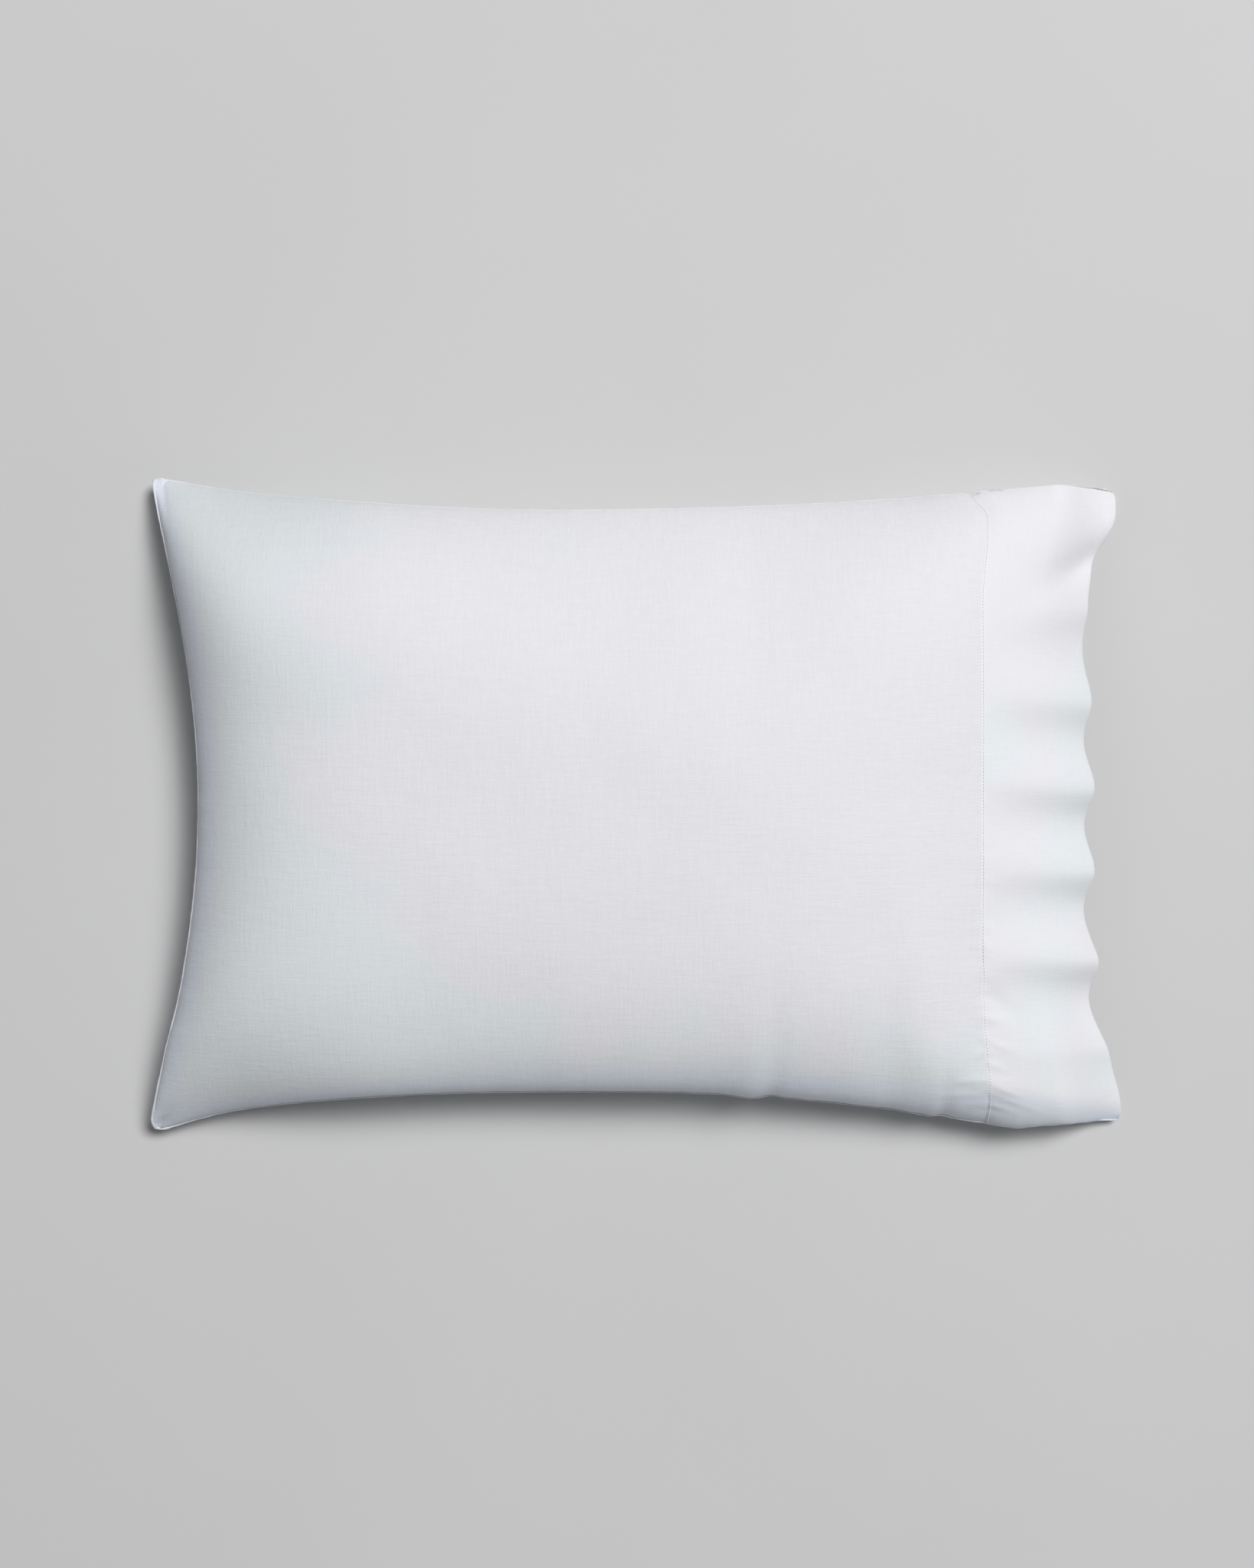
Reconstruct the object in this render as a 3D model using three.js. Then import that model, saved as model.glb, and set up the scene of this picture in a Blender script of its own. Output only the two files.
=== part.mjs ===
// Bed pillow: a filled insert inside a linen pillowcase that is open at one end.
//
// Units are millimetres. +X runs from the closed end to the mouth, +Y across the
// pillow and +Z up. The origin is on the floor, under the centre of the pillow.
//
// Every cloth layer is one member of a family of nested surfaces. A layer is laid
// out on a grid of two numbers: u runs from -1 at the closed end to 1 at the mouth,
// and v from -1 to 1 across the pillow. Neighbouring layers share their grid lines,
// so that their facets stay parallel and the gaps between them stay open.
import * as THREE from 'three';

// ---- Driving dimensions -------------------------------------------------------

const CASE_LENGTH = 757;          // corner to corner along X
const CASE_WIDTH = 508;           // corner to corner along Y at the closed end
const CROWN_HEIGHT = 150;         // highest point of the stuffed pillow
const CROWN_U = -0.12;            // where along the length the crown is highest

const END_PULL = 35;              // how far the closed end draws in at its middle
const MOUTH_PULL = 24;            // the same at the mouth
const SIDE_PULL = 27;             // the same at the middle of each side

const HEM_DEPTH = 102;            // depth of the hem band
const INSERT_END_U = 0.715;       // where the insert ends, just short of the hem

const LINEN = 0.6;                // one layer of linen
const HEM_CLOTH = 1.2;            // the hem is two layers
const HEM_PROUD = 0.3;            // how far the hem stands outside the panel
const TICKING = 0.5;              // the insert's cotton cover
const JOIN_GAP = 0.5;             // space between cloth edges that are sewn together
const CASE_TO_INSERT = 2.5;       // outside of the case to outside of the insert
const INSERT_EDGE_INSET = 9;      // the insert's edge lies this far inside the case's
const EDGE_THICKENING = 2;         // seam allowances double the layers along the edge
const INSERT_CORNER_RADIUS = 34;  // its corners are round, and fall short of the case's
const FILL_GAP = 1.5;             // between the ticking and the filling

const SEAM_RADIUS = 1.0;          // the sewn ridge along the case's edges
const PIPING_RADIUS = 1.5;        // the corded edge of the insert
const PIPING_GAP = 1.2;           // between the cord and the cover's edge
const THREAD_RADIUS = 0.4;        // sewing thread, drawn as one laid line

const CARE_LABEL = { length: 20, width: 36, thickness: 0.4, x: 334, drop: 12 };
const LAW_LABEL = { length: 52, width: 44, thickness: 0.4, y: 120, slope: 0.2 };

// Heights of the sewn edge above the floor.
const SEAM_HEIGHT = {
  closedCorner: 22, closedMiddle: 58, sideMiddle: 56, insertEnd: 38,
  hemSide: 26, mouthCorner: 12, mouthMiddle: 14,
};
const MOUTH_RISE = 16;            // how far the front hem stands above the mouth's edge
const BACK_LIFT = 3.5;            // how far the back hem hangs clear of the floor
const UNDERSIDE_DEPTH = 92;       // depth of the back before the floor flattens it

const LENGTH_CELLS = 16;
const WIDTH_CELLS = 12;
const HEM_CELLS = 4;

const HALF_LENGTH = CASE_LENGTH / 2;
const HALF_WIDTH = CASE_WIDTH / 2;
const HEM_U = 1 - HEM_DEPTH / HALF_LENGTH;

// ---- Small helpers ------------------------------------------------------------

const lerp = THREE.MathUtils.lerp;

/** Share of the way from a to b that value has gone, held between 0 and 1. */
function share(value, a, b) {
  return THREE.MathUtils.clamp((value - a) / (b - a), 0, 1);
}

/** The same with a soft start and end. */
function ease(value, a, b) {
  const t = share(value, a, b);
  return t * t * (3 - 2 * t);
}

/** Plump cross-section of a stuffed bag: 1 in the middle, 0 and steep at the edge. */
function plump(t) {
  return Math.pow(Math.max(0, 1 - Math.pow(Math.abs(t), 2.2)), 0.62);
}

/** count + 1 numbers from a to b, closer together at both ends. */
function stations(a, b, count) {
  return Array.from({ length: count + 1 }, (_, k) =>
    lerp(a, b, (1 - Math.cos((Math.PI * k) / count)) / 2));
}

// ---- The pillow's shape ---------------------------------------------------------

/** Distance of u from the crown, as a share of the way to the nearer end. */
function fromCrown(u) {
  return u < CROWN_U ? (CROWN_U - u) / (1 + CROWN_U) : (u - CROWN_U) / (1 - CROWN_U);
}

/** Plan outline: X of a grid point of the case. */
function planX(u, v) {
  const bow = 1 - v * v;
  const closedPull = END_PULL * Math.pow((1 - u) / 2, 3);
  const mouthPull = MOUTH_PULL * Math.pow((1 + u) / 2, 14);
  return HALF_LENGTH * u + (closedPull - mouthPull) * bow;
}

/** Plan outline: half the width of the case at u. */
function halfWidth(u) {
  return HALF_WIDTH - SIDE_PULL * (1 - Math.pow(fromCrown(u), 1.9));
}

/** Height of the sewn edge, carried across the pillow as a middle surface. */
function middleHeight(u, v) {
  const h = SEAM_HEIGHT;
  const middle = u < CROWN_U
    ? h.closedMiddle
    : lerp(lerp(h.closedMiddle, h.insertEnd, ease(u, CROWN_U, INSERT_END_U)),
      h.mouthMiddle, ease(u, INSERT_END_U, 1));
  const side = u < CROWN_U
    ? lerp(h.closedCorner, h.sideMiddle, ease(u, -1, CROWN_U))
    : lerp(lerp(h.sideMiddle, h.hemSide, ease(u, CROWN_U, HEM_U)),
      h.mouthCorner, ease(u, HEM_U, 1));
  return lerp(middle, side, Math.pow(Math.abs(v), 2.5));
}

/** Height of the case's top along its centre line. */
function crownHeight(u) {
  const h = SEAM_HEIGHT;
  if (u < CROWN_U) {
    return lerp(h.closedMiddle, CROWN_HEIGHT, plump(fromCrown(u)));
  }
  const fall = 1 - Math.pow(fromCrown(u), 2);
  return lerp(h.mouthMiddle + MOUTH_RISE, CROWN_HEIGHT, fall);
}

/** Height of the case's outside, above (side 1) or below (side -1) the sewn edge. */
function caseHeight(u, v, side) {
  const middle = middleHeight(u, v);
  if (side > 0) {
    return middle + (crownHeight(u) - middleHeight(u, 0)) * plump(v);
  }
  const lengthwise = u < CROWN_U ? plump(fromCrown(u)) : 1 - 0.75 * fromCrown(u) ** 3;
  const floor = BACK_LIFT * ease(u, 0.45, HEM_U - 0.05);
  return Math.max(floor, middle - UNDERSIDE_DEPTH * lengthwise * plump(v));
}

/** How deep inside the pillow a grid point is: 1 over the middle, 0 on the edge. */
function interior(u, v) {
  const lengthwise = u < CROWN_U ? plump(fromCrown(u)) : 1;
  return Math.pow(lengthwise * plump(v), 0.3);
}

/**
 * A point of one cloth surface of the case.
 * inset is how far the surface lies inside the outside of the case, and half the
 * join gap keeps the front and the back apart where they are sewn together.
 */
function casePoint(u, v, side, inset) {
  const x = planX(u, v) + inset * share(u, CROWN_U, -1);
  const y = v * (halfWidth(u) - inset);
  const sewnGap = side * (JOIN_GAP / 2) * (1 - interior(u, v));
  const z = caseHeight(u, v, side) - side * inset * interior(u, v) + sewnGap;
  return new THREE.Vector3(x, y, side < 0 ? Math.max(z, inset) : z);
}

/**
 * Moves a point near a square corner inwards, so that the corner becomes round.
 * The arguments are its distances from the two edges; so are the values returned.
 */
function roundCorner(fromEnd, fromSide, radius) {
  const across = 1 - fromEnd / radius;
  const along = 1 - fromSide / radius;
  if (across <= 0 || along <= 0) {
    return [fromEnd, fromSide];
  }
  const scale = Math.max(across, along) / Math.hypot(across, along);
  return [radius * (1 - across * scale), radius * (1 - along * scale)];
}

/** The same for the insert, whose far end closes before the hem. */
function insertPoint(u, v, side, inset) {
  const nearClosedEnd = u < CROWN_U;
  const deeper = inset - CASE_TO_INSERT;
  const edge = EDGE_THICKENING * deeper + INSERT_EDGE_INSET;
  const endX = planX(nearClosedEnd ? -1 : INSERT_END_U, v);
  const sideY = halfWidth(u);
  const [fromEnd, fromSide] = roundCorner(
    Math.abs(planX(u, v) - endX), sideY * (1 - Math.abs(v)), INSERT_CORNER_RADIUS);
  const x = nearClosedEnd
    ? endX + fromEnd + edge * share(u, CROWN_U, -1)
    : endX - fromEnd - deeper * share(u, CROWN_U, INSERT_END_U);
  const y = Math.sign(v) * (sideY - fromSide) * (1 - edge / sideY);
  const middle = middleHeight(u + (x - planX(u, v)) / HALF_LENGTH, y / sideY);
  const caseAbove = caseHeight(u, v, side) - middleHeight(u, v);
  const outer = middle + caseAbove - side * inset * interior(u, v);
  const closing = plump(share(u, 0.3, INSERT_END_U));
  const sewnGap = side * (JOIN_GAP / 2) * (1 - interior(u, v) * closing);
  const z = middle + (outer - middle) * closing + sewnGap;
  return new THREE.Vector3(x, y, Math.max(z, inset));
}

// ---- Turning surfaces and lines into closed solids ----------------------------------

/** Rows of points over a grid. */
function surface(us, vs, point) {
  return us.map((u) => vs.map((v) => point(u, v)));
}

/**
 * One closed body between two surfaces on the same grid.
 * upper has to lie above lower.
 */
function solidBetween(upper, lower) {
  const rows = upper.length;
  const columns = upper[0].length;
  const points = [...upper.flat(), ...lower.flat()];
  const index = (layer, i, j) => layer * rows * columns + i * columns + j;
  const faces = [];
  const quad = (a, b, c, d) => faces.push(a, b, c, a, c, d);
  for (let i = 0; i + 1 < rows; i += 1) {
    for (let j = 0; j + 1 < columns; j += 1) {
      quad(index(0, i, j), index(0, i + 1, j), index(0, i + 1, j + 1), index(0, i, j + 1));
      quad(index(1, i, j), index(1, i, j + 1), index(1, i + 1, j + 1), index(1, i + 1, j));
    }
  }
  const lastRow = rows - 1;
  const lastColumn = columns - 1;
  for (let i = 0; i < lastRow; i += 1) {
    quad(index(0, i, 0), index(1, i, 0), index(1, i + 1, 0), index(0, i + 1, 0));
    quad(index(0, i + 1, lastColumn), index(1, i + 1, lastColumn),
      index(1, i, lastColumn), index(0, i, lastColumn));
  }
  for (let j = 0; j < lastColumn; j += 1) {
    quad(index(0, 0, j + 1), index(1, 0, j + 1), index(1, 0, j), index(0, 0, j));
    quad(index(0, lastRow, j), index(1, lastRow, j),
      index(1, lastRow, j + 1), index(0, lastRow, j + 1));
  }
  const geometry = new THREE.BufferGeometry().setFromPoints(points);
  geometry.setIndex(faces);
  geometry.computeVertexNormals();
  return geometry;
}

/** A round cord along a smooth line through the points, cut square at both ends. */
function cord(points, radius, sides, steps) {
  const section = new THREE.Shape();
  for (let k = 0; k < sides; k += 1) {
    const angle = (2 * Math.PI * k) / sides;
    const place = [radius * Math.cos(angle), radius * Math.sin(angle)];
    if (k === 0) {
      section.moveTo(...place);
    } else {
      section.lineTo(...place);
    }
  }
  section.closePath();
  const path = new THREE.CatmullRomCurve3(points, false, 'centripetal');
  return new THREE.ExtrudeGeometry(section, { steps, bevelEnabled: false, extrudePath: path });
}

// ---- Materials --------------------------------------------------------------------

/** A plain cloth finish. */
function cloth(color, roughness = 0.9) {
  return new THREE.MeshStandardMaterial({ color, roughness, metalness: 0 });
}

const linen = cloth(0xe6e7eb);
const hemLinen = cloth(0xebeef0);
const thread = cloth(0xf2f3f4, 0.6);
const ticking = cloth(0xf3f1ec, 0.85);
const pipingCotton = cloth(0xe9e6df, 0.85);
const fibre = cloth(0xf7f5ef, 1);
const tape = cloth(0xfafaf8, 0.7);

const pillow = new THREE.Group();

/** Adds one named sub-part to the pillow. */
function addPart(name, geometry, material) {
  const mesh = new THREE.Mesh(geometry, material);
  mesh.name = name;
  pillow.add(mesh);
  return mesh;
}

// ---- Pillowcase -------------------------------------------------------------------

const acrossStations = stations(-1, 1, WIDTH_CELLS);
const insertStations = stations(-1, INSERT_END_U, LENGTH_CELLS);
const hemEdgeU = HEM_U - JOIN_GAP / HALF_LENGTH;
const panelStations = [...insertStations, hemEdgeU];
const hemStations = Array.from({ length: HEM_CELLS + 1 }, (_, k) => lerp(HEM_U, 1, k / HEM_CELLS));

/** A layer of the case between two insets, on the front (1) or the back (-1). */
function caseLayer(us, side, outerInset, innerInset) {
  const outer = surface(us, acrossStations, (u, v) => casePoint(u, v, side, outerInset));
  const inner = surface(us, acrossStations, (u, v) => casePoint(u, v, side, innerInset));
  return side > 0 ? solidBetween(outer, inner) : solidBetween(inner, outer);
}

/** Front or back panel of the case. */
function casePanel(side) {
  return caseLayer(panelStations, side, 0, LINEN);
}

/** Front or back hem band, which stands a little proud of the panel. */
function caseHem(side) {
  return caseLayer(hemStations, side, -HEM_PROUD, HEM_CLOTH - HEM_PROUD);
}

/** Point on the sewn ridge, just outside the edge of the case. */
function ridgePoint(u, v) {
  const offset = HEM_PROUD + JOIN_GAP + SEAM_RADIUS;
  const x = planX(u, v) - offset * (u === -1 ? 1 : 0);
  const y = Math.abs(v) === 1 ? v * (halfWidth(u) + offset) : v * halfWidth(u);
  return new THREE.Vector3(x, y, middleHeight(u, v));
}

/** Sewn ridge along one side, from the closed end's corner to the mouth. */
function sideSeam(v) {
  const steps = 30;
  const points = Array.from({ length: steps + 1 }, (_, k) => ridgePoint(lerp(-0.999, 1, k / steps), v));
  return cord(points, SEAM_RADIUS, 8, 36);
}

/** Sewn ridge along the closed end. */
function endSeam() {
  const steps = 20;
  const points = Array.from({ length: steps + 1 }, (_, k) => ridgePoint(-1, lerp(-0.995, 0.995, k / steps)));
  return cord(points, SEAM_RADIUS, 8, 24);
}

/** The row of stitches that holds the hem, 3 mm inside the hem's edge. */
function hemStitching(side) {
  const inside = 3;
  const u = HEM_U + inside / HALF_LENGTH;
  const stand = -(HEM_PROUD + JOIN_GAP + THREAD_RADIUS);
  const steps = 40;
  const points = Array.from({ length: steps + 1 }, (_, k) =>
    casePoint(u, lerp(-0.97, 0.97, k / steps), side, stand));
  return cord(points, THREAD_RADIUS, 6, 48);
}

/** Blank care label, sewn into the right-hand side seam inside the mouth. */
function addCareLabel() {
  const label = CARE_LABEL;
  const u = label.x / HALF_LENGTH;
  const mesh = addPart('case_care_label',
    new THREE.BoxGeometry(label.length, label.width, label.thickness), tape);
  const y = -halfWidth(u) + label.drop + label.width / 2;
  mesh.position.set(label.x, y, middleHeight(u, -1));
}

addPart('case_front_panel', casePanel(1), linen);
addPart('case_back_panel', casePanel(-1), linen);
addPart('case_front_hem', caseHem(1), hemLinen);
addPart('case_back_hem', caseHem(-1), hemLinen);
addPart('case_end_seam', endSeam(), linen);
addPart('case_side_seam_left', sideSeam(1), linen);
addPart('case_side_seam_right', sideSeam(-1), linen);
addPart('case_front_hem_stitching', hemStitching(1), thread);
addPart('case_back_hem_stitching', hemStitching(-1), thread);
addCareLabel();

// ---- Insert -----------------------------------------------------------------------

/** Front or back of the cotton cover. */
function insertCover(side) {
  const outer = surface(insertStations, acrossStations,
    (u, v) => insertPoint(u, v, side, CASE_TO_INSERT));
  const inner = surface(insertStations, acrossStations,
    (u, v) => insertPoint(u, v, side, CASE_TO_INSERT + TICKING));
  return side > 0 ? solidBetween(outer, inner) : solidBetween(inner, outer);
}

/** The filling, one soft solid that fills the cover. */
function insertFilling() {
  const inset = CASE_TO_INSERT + TICKING + FILL_GAP;
  const top = surface(insertStations, acrossStations, (u, v) => insertPoint(u, v, 1, inset));
  const bottom = surface(insertStations, acrossStations, (u, v) => insertPoint(u, v, -1, inset));
  return solidBetween(top, bottom);
}

/** Middle line of the cover's sewn edge, all the way round. */
function coverEdge() {
  const along = stations(-1, INSERT_END_U, 18);
  const across = stations(-1, 1, 14);
  const cordShare = (PIPING_GAP + PIPING_RADIUS) / INSERT_EDGE_INSET;
  const middle = (u, v) => {
    const point = insertPoint(u, v, 1, CASE_TO_INSERT);
    point.z = lerp(point.z - JOIN_GAP / 2, middleHeight(u, v), cordShare);
    return point;
  };
  const startV = 0.02;
  return [
    ...across.filter((v) => v > startV).map((v) => middle(INSERT_END_U, v)),
    ...along.slice(0, -1).reverse().map((u) => middle(u, 1)),
    ...across.slice(0, -1).reverse().map((v) => middle(-1, v)),
    ...along.slice(1).map((u) => middle(u, -1)),
    ...across.filter((v) => v > -1 && v < startV).map((v) => middle(INSERT_END_U, v)),
  ];
}

/** Corded piping round the insert; its two ends butt together at the mouth end. */
function insertPiping() {
  const edge = coverEdge();
  const stand = PIPING_GAP + PIPING_RADIUS;
  const points = edge.map((point, k) => {
    const before = edge[Math.max(0, k - 1)];
    const after = edge[Math.min(edge.length - 1, k + 1)];
    const along = new THREE.Vector3().subVectors(after, before).setZ(0).normalize();
    const outwards = new THREE.Vector3(along.y, -along.x, 0);
    return point.clone().addScaledVector(outwards, stand);
  });
  return cord(points, PIPING_RADIUS, 6, 160);
}

/** Hand-closed stitches where the filling went in, along the mouth end. */
function closingStitch() {
  const u = insertStations[LENGTH_CELLS - 2];
  const reach = 0.5;
  const steps = 12;
  const stand = 1.0;
  const points = Array.from({ length: steps + 1 }, (_, k) => {
    const v = lerp(-reach, reach, k / steps);
    const here = insertPoint(u, v, 1, CASE_TO_INSERT);
    const uphill = insertPoint(u - 0.01, v, 1, CASE_TO_INSERT).sub(here);
    const sideways = insertPoint(u, v + 0.01, 1, CASE_TO_INSERT).sub(here);
    const normal = sideways.cross(uphill).normalize();
    return here.addScaledVector(normal, stand);
  });
  return cord(points, THREAD_RADIUS, 6, 20);
}

/** Blank law label, sewn into the seam at the insert's mouth end. */
function addLawLabel() {
  const label = LAW_LABEL;
  const v = label.y / halfWidth(INSERT_END_U);
  const seamClearance = PIPING_GAP + 2 * PIPING_RADIUS + JOIN_GAP;
  const mesh = addPart('insert_law_label',
    new THREE.BoxGeometry(label.length, label.width, label.thickness), tape);
  const x = planX(INSERT_END_U, v) + seamClearance + label.length / 2;
  const drop = (Math.sin(label.slope) * label.length) / 2;
  mesh.position.set(x, label.y, middleHeight(INSERT_END_U, v) - drop);
  mesh.rotation.y = label.slope;
}

addPart('insert_ticking_front', insertCover(1), ticking);
addPart('insert_ticking_back', insertCover(-1), ticking);
addPart('insert_piping', insertPiping(), pipingCotton);
addPart('insert_filling', insertFilling(), fibre);
addPart('insert_closing_stitch', closingStitch(), thread);
addLawLabel();

// The origin stands under the middle of the pillow's box.
const box = new THREE.Box3().setFromObject(pillow);
const centre = box.getCenter(new THREE.Vector3());
pillow.position.set(-centre.x, -centre.y, -box.min.z);

export default pillow;
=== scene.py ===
"""Looks of a bed pillow: a filled insert inside a linen pillowcase that is open at one end.

The frame gives the pillow's box, the hem line and the heights. PillowForm turns them into
smooth surfaces on a grid of (u, v): u runs from -1 at the closed end to 1 at the mouth, and
v from -1 on the right-hand side (-Y) to 1 on the left-hand side (+Y). Every cloth piece is
laid out on that grid, so that neighbouring pieces follow each other like real layers.
"""

import logging
import math
from dataclasses import dataclass, field
from enum import Enum
from typing import Any, ClassVar

import bpy
import numpy as np
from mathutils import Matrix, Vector

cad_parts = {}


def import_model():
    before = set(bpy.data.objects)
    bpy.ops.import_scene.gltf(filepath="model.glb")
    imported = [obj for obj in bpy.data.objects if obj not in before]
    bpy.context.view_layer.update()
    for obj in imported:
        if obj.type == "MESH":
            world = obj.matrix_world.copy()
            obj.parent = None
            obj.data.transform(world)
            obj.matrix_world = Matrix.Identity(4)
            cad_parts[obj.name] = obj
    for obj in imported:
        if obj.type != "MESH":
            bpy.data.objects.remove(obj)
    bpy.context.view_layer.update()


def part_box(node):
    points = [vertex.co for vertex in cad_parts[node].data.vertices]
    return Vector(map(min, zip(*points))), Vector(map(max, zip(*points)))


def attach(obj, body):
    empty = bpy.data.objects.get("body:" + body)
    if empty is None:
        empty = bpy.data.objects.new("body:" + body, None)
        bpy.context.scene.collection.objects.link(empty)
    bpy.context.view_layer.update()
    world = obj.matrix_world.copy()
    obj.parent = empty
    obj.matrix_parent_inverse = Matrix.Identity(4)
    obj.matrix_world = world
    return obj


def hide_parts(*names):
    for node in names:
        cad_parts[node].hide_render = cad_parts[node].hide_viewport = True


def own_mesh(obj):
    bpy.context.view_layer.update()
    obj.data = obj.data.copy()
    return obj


LOG = logging.getLogger("pillow")
MM = 0.001
CASE_BODY = "pillowcase"
INSERT_BODY = "insert"
# How far the sewn edge reaches past the frame's own pieces, and how far the crown stays
# under the top of them.
PAST_CLOSED_END = 4.5 * MM
PAST_MOUTH = 4 * MM
PAST_SIDE = 1.5 * MM
CROWN_DROP = 4 * MM

Array = np.ndarray
Span = tuple[float, float]
UP = np.array([0.0, 0.0, 1.0])
TINY = 1e-12


# ---- Small mathematics ------------------------------------------------------------------


def lerp(a: Any, b: Any, t: Any) -> Any:
    """The value a share t of the way from a to b."""
    return a + (b - a) * t


def ease(value: Any, start: float, end: float) -> Any:
    """A soft step.

    Args:
        value: Where to read the step.
        start: Where it leaves 0.
        end: Where it reaches 1.

    Returns:
        A number or array between 0 and 1.
    """
    t = np.clip((value - start) / (end - start), 0.0, 1.0)
    return t * t * (3 - 2 * t)


def plump(t: Any, flatness: float, roundness: float) -> Any:
    """Cross-section of a stuffed bag: 1 in the middle and 0 at the seam.

    Args:
        t: Place across the bag, from -1 to 1.
        flatness: The higher it is, the wider the flat middle.
        roundness: The lower it is, the steeper the flank at the seam.

    Returns:
        The share of full height.
    """
    return np.power(np.maximum(0.0, 1 - np.abs(t) ** flatness), roundness)


def bell(away: Any, width: float) -> Any:
    """1 where away is 0, falling smoothly to nothing over a few widths."""
    return np.exp(-((away / width) ** 2))


def soft_floor(height: Any, softness: float) -> Any:
    """Height held above 0 with a rounded bend, as cloth meets the surface it lies on."""
    return (height + np.sqrt(height**2 + softness**2)) / 2


class ValueNoise:
    """Smooth seeded noise between -1 and 1 over a plane."""

    def __init__(self, seed: int, cells: int = 64) -> None:
        """Draws the lattice.

        Args:
            seed: Fixes the draw.
            cells: Lattice size, after which the noise repeats.
        """
        self.cells = cells
        self.lattice = np.random.default_rng(seed).uniform(-1, 1, (cells, cells))

    def __call__(self, x: Any, y: Any) -> Array:
        """Reads the noise at x, y, which are counted in lattice cells.

        Args:
            x: Places along the lattice, counted in cells.
            y: Places across it.

        Returns:
            One value for each place.
        """
        x, y = np.broadcast_arrays(np.asarray(x, float), np.asarray(y, float))
        i, j = np.floor(x).astype(int), np.floor(y).astype(int)
        fx, fy = x - i, y - j
        sx, sy = fx**3 * (fx * (6 * fx - 15) + 10), fy**3 * (fy * (6 * fy - 15) + 10)

        def corner(a: int, b: int) -> Array:
            """The draws at one corner of each place's cell."""
            return self.lattice[(i + a) % self.cells, (j + b) % self.cells]

        low = lerp(corner(0, 0), corner(1, 0), sx)
        high = lerp(corner(0, 1), corner(1, 1), sx)
        return lerp(low, high, sy)


def spaced(start: float, end: float, count: int, crowding: float = 0.5) -> Array:
    """Stations from start to end, closer together at both ends.

    Args:
        start: First station.
        end: Last station.
        count: How many cells lie between them.
        crowding: 0 for even spacing, towards 1 for crowded ends.

    Returns:
        count + 1 rising numbers.
    """
    even = np.linspace(0, 1, count + 1)
    crowded = (1 - np.cos(math.pi * even)) / 2
    return lerp(start, end, lerp(even, crowded, crowding))


def unit(vectors: Array) -> Array:
    """The vectors at length 1."""
    return vectors / np.maximum(np.linalg.norm(vectors, axis=-1, keepdims=True), TINY)


class Side(Enum):
    """Which cloth layer of a bag, with the sign of its outward direction along Z."""

    FRONT = 1
    BACK = -1


# ---- The pillow's form ------------------------------------------------------------------


@dataclass
class EdgeBow:
    """How one long edge draws in between its two ends, seen from above."""

    depth: float
    middle: float
    left_power: float
    right_power: float
    right_end: float
    right_depth: float
    pinch: float
    scallop: float
    ear: float
    ear_reach: float = 0.13
    mouth_lift: float = 0.0
    lifting: Span = (0.75, 0.87)
    nicks: tuple[tuple[float, float, float], ...] = ()
    pinch_width: float = 0.014
    scallop_pitch: float = 0.062
    scallop_seed: int = 41
    gathered: Span = (0.1, 0.24)
    let_out: float = 0.08

    def pull(self, u: Array, hem_u: float) -> Array:
        """How far the edge lies inside the straight line between its corners.

        Args:
            u: Grid values along the pillow.
            hem_u: The hem line as a grid value.

        Returns:
            One distance for each grid value.
        """
        left = self.depth * (1 - np.abs((u - self.middle) / (1 + self.middle)) ** self.left_power)
        t = np.clip((u - self.middle) / (self.right_end - self.middle), 0, 1)
        right = lerp(self.right_depth, self.depth, 1 - t**self.right_power)
        stitched_in = self.pinch * bell(u - hem_u, self.pinch_width)
        gathered = ease(u, *self.gathered) * (1 - ease(u, hem_u, hem_u + self.let_out))
        wave = ValueNoise(self.scallop_seed)(u / self.scallop_pitch, 0.5)
        scallops = self.scallop * wave * gathered
        scallops += sum(depth * bell(u - place, width) for place, depth, width in self.nicks)
        eared = self.ear * bell(u + 1, self.ear_reach)
        lifted = self.mouth_lift * ease(u, *self.lifting)
        return np.where(u < self.middle, left, right) + stitched_in + scallops + lifted - eared


@dataclass(frozen=True)
class Flank:
    """How full one long side is: how flat on top, and how steep at its seam."""

    flatness: float
    roundness: float
    hem_gain: float
    hem_start: float
    swell: float
    swell_span: Span

    def flatness_at(self, u: Array, hem_u: float) -> Array:
        """Flatness of the top at u, which grows towards the hem and over the swell."""
        return (self.flatness + self.hem_gain * ease(u, self.hem_start, hem_u)
                + self.swell * ease(u, *self.swell_span))


@dataclass(frozen=True)
class Fold:
    """One soft wave of the hem, highest at the mouth and gone at the stitch line.

    Its lower flank, towards -Y, is steeper than its upper one.
    """

    crest_y: float
    height: float
    lower_width: float = 18 * MM
    upper_width: float = 25 * MM
    slant: float = 0.0
    reach: float = 0.9

    def shape(self, y: Array, loose: Array) -> Array:
        """Share of full height at y, where loose is 0 at the stitch line and 1 at the mouth.

        Args:
            y: Places across the pillow.
            loose: Share of the way from stitches to mouth.

        Returns:
            One share for each place.
        """
        away = y - self.crest_y - self.slant * (1 - loose)
        width = np.where(away < 0, self.lower_width, self.upper_width)
        return bell(away, width) * loose**self.reach


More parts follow.
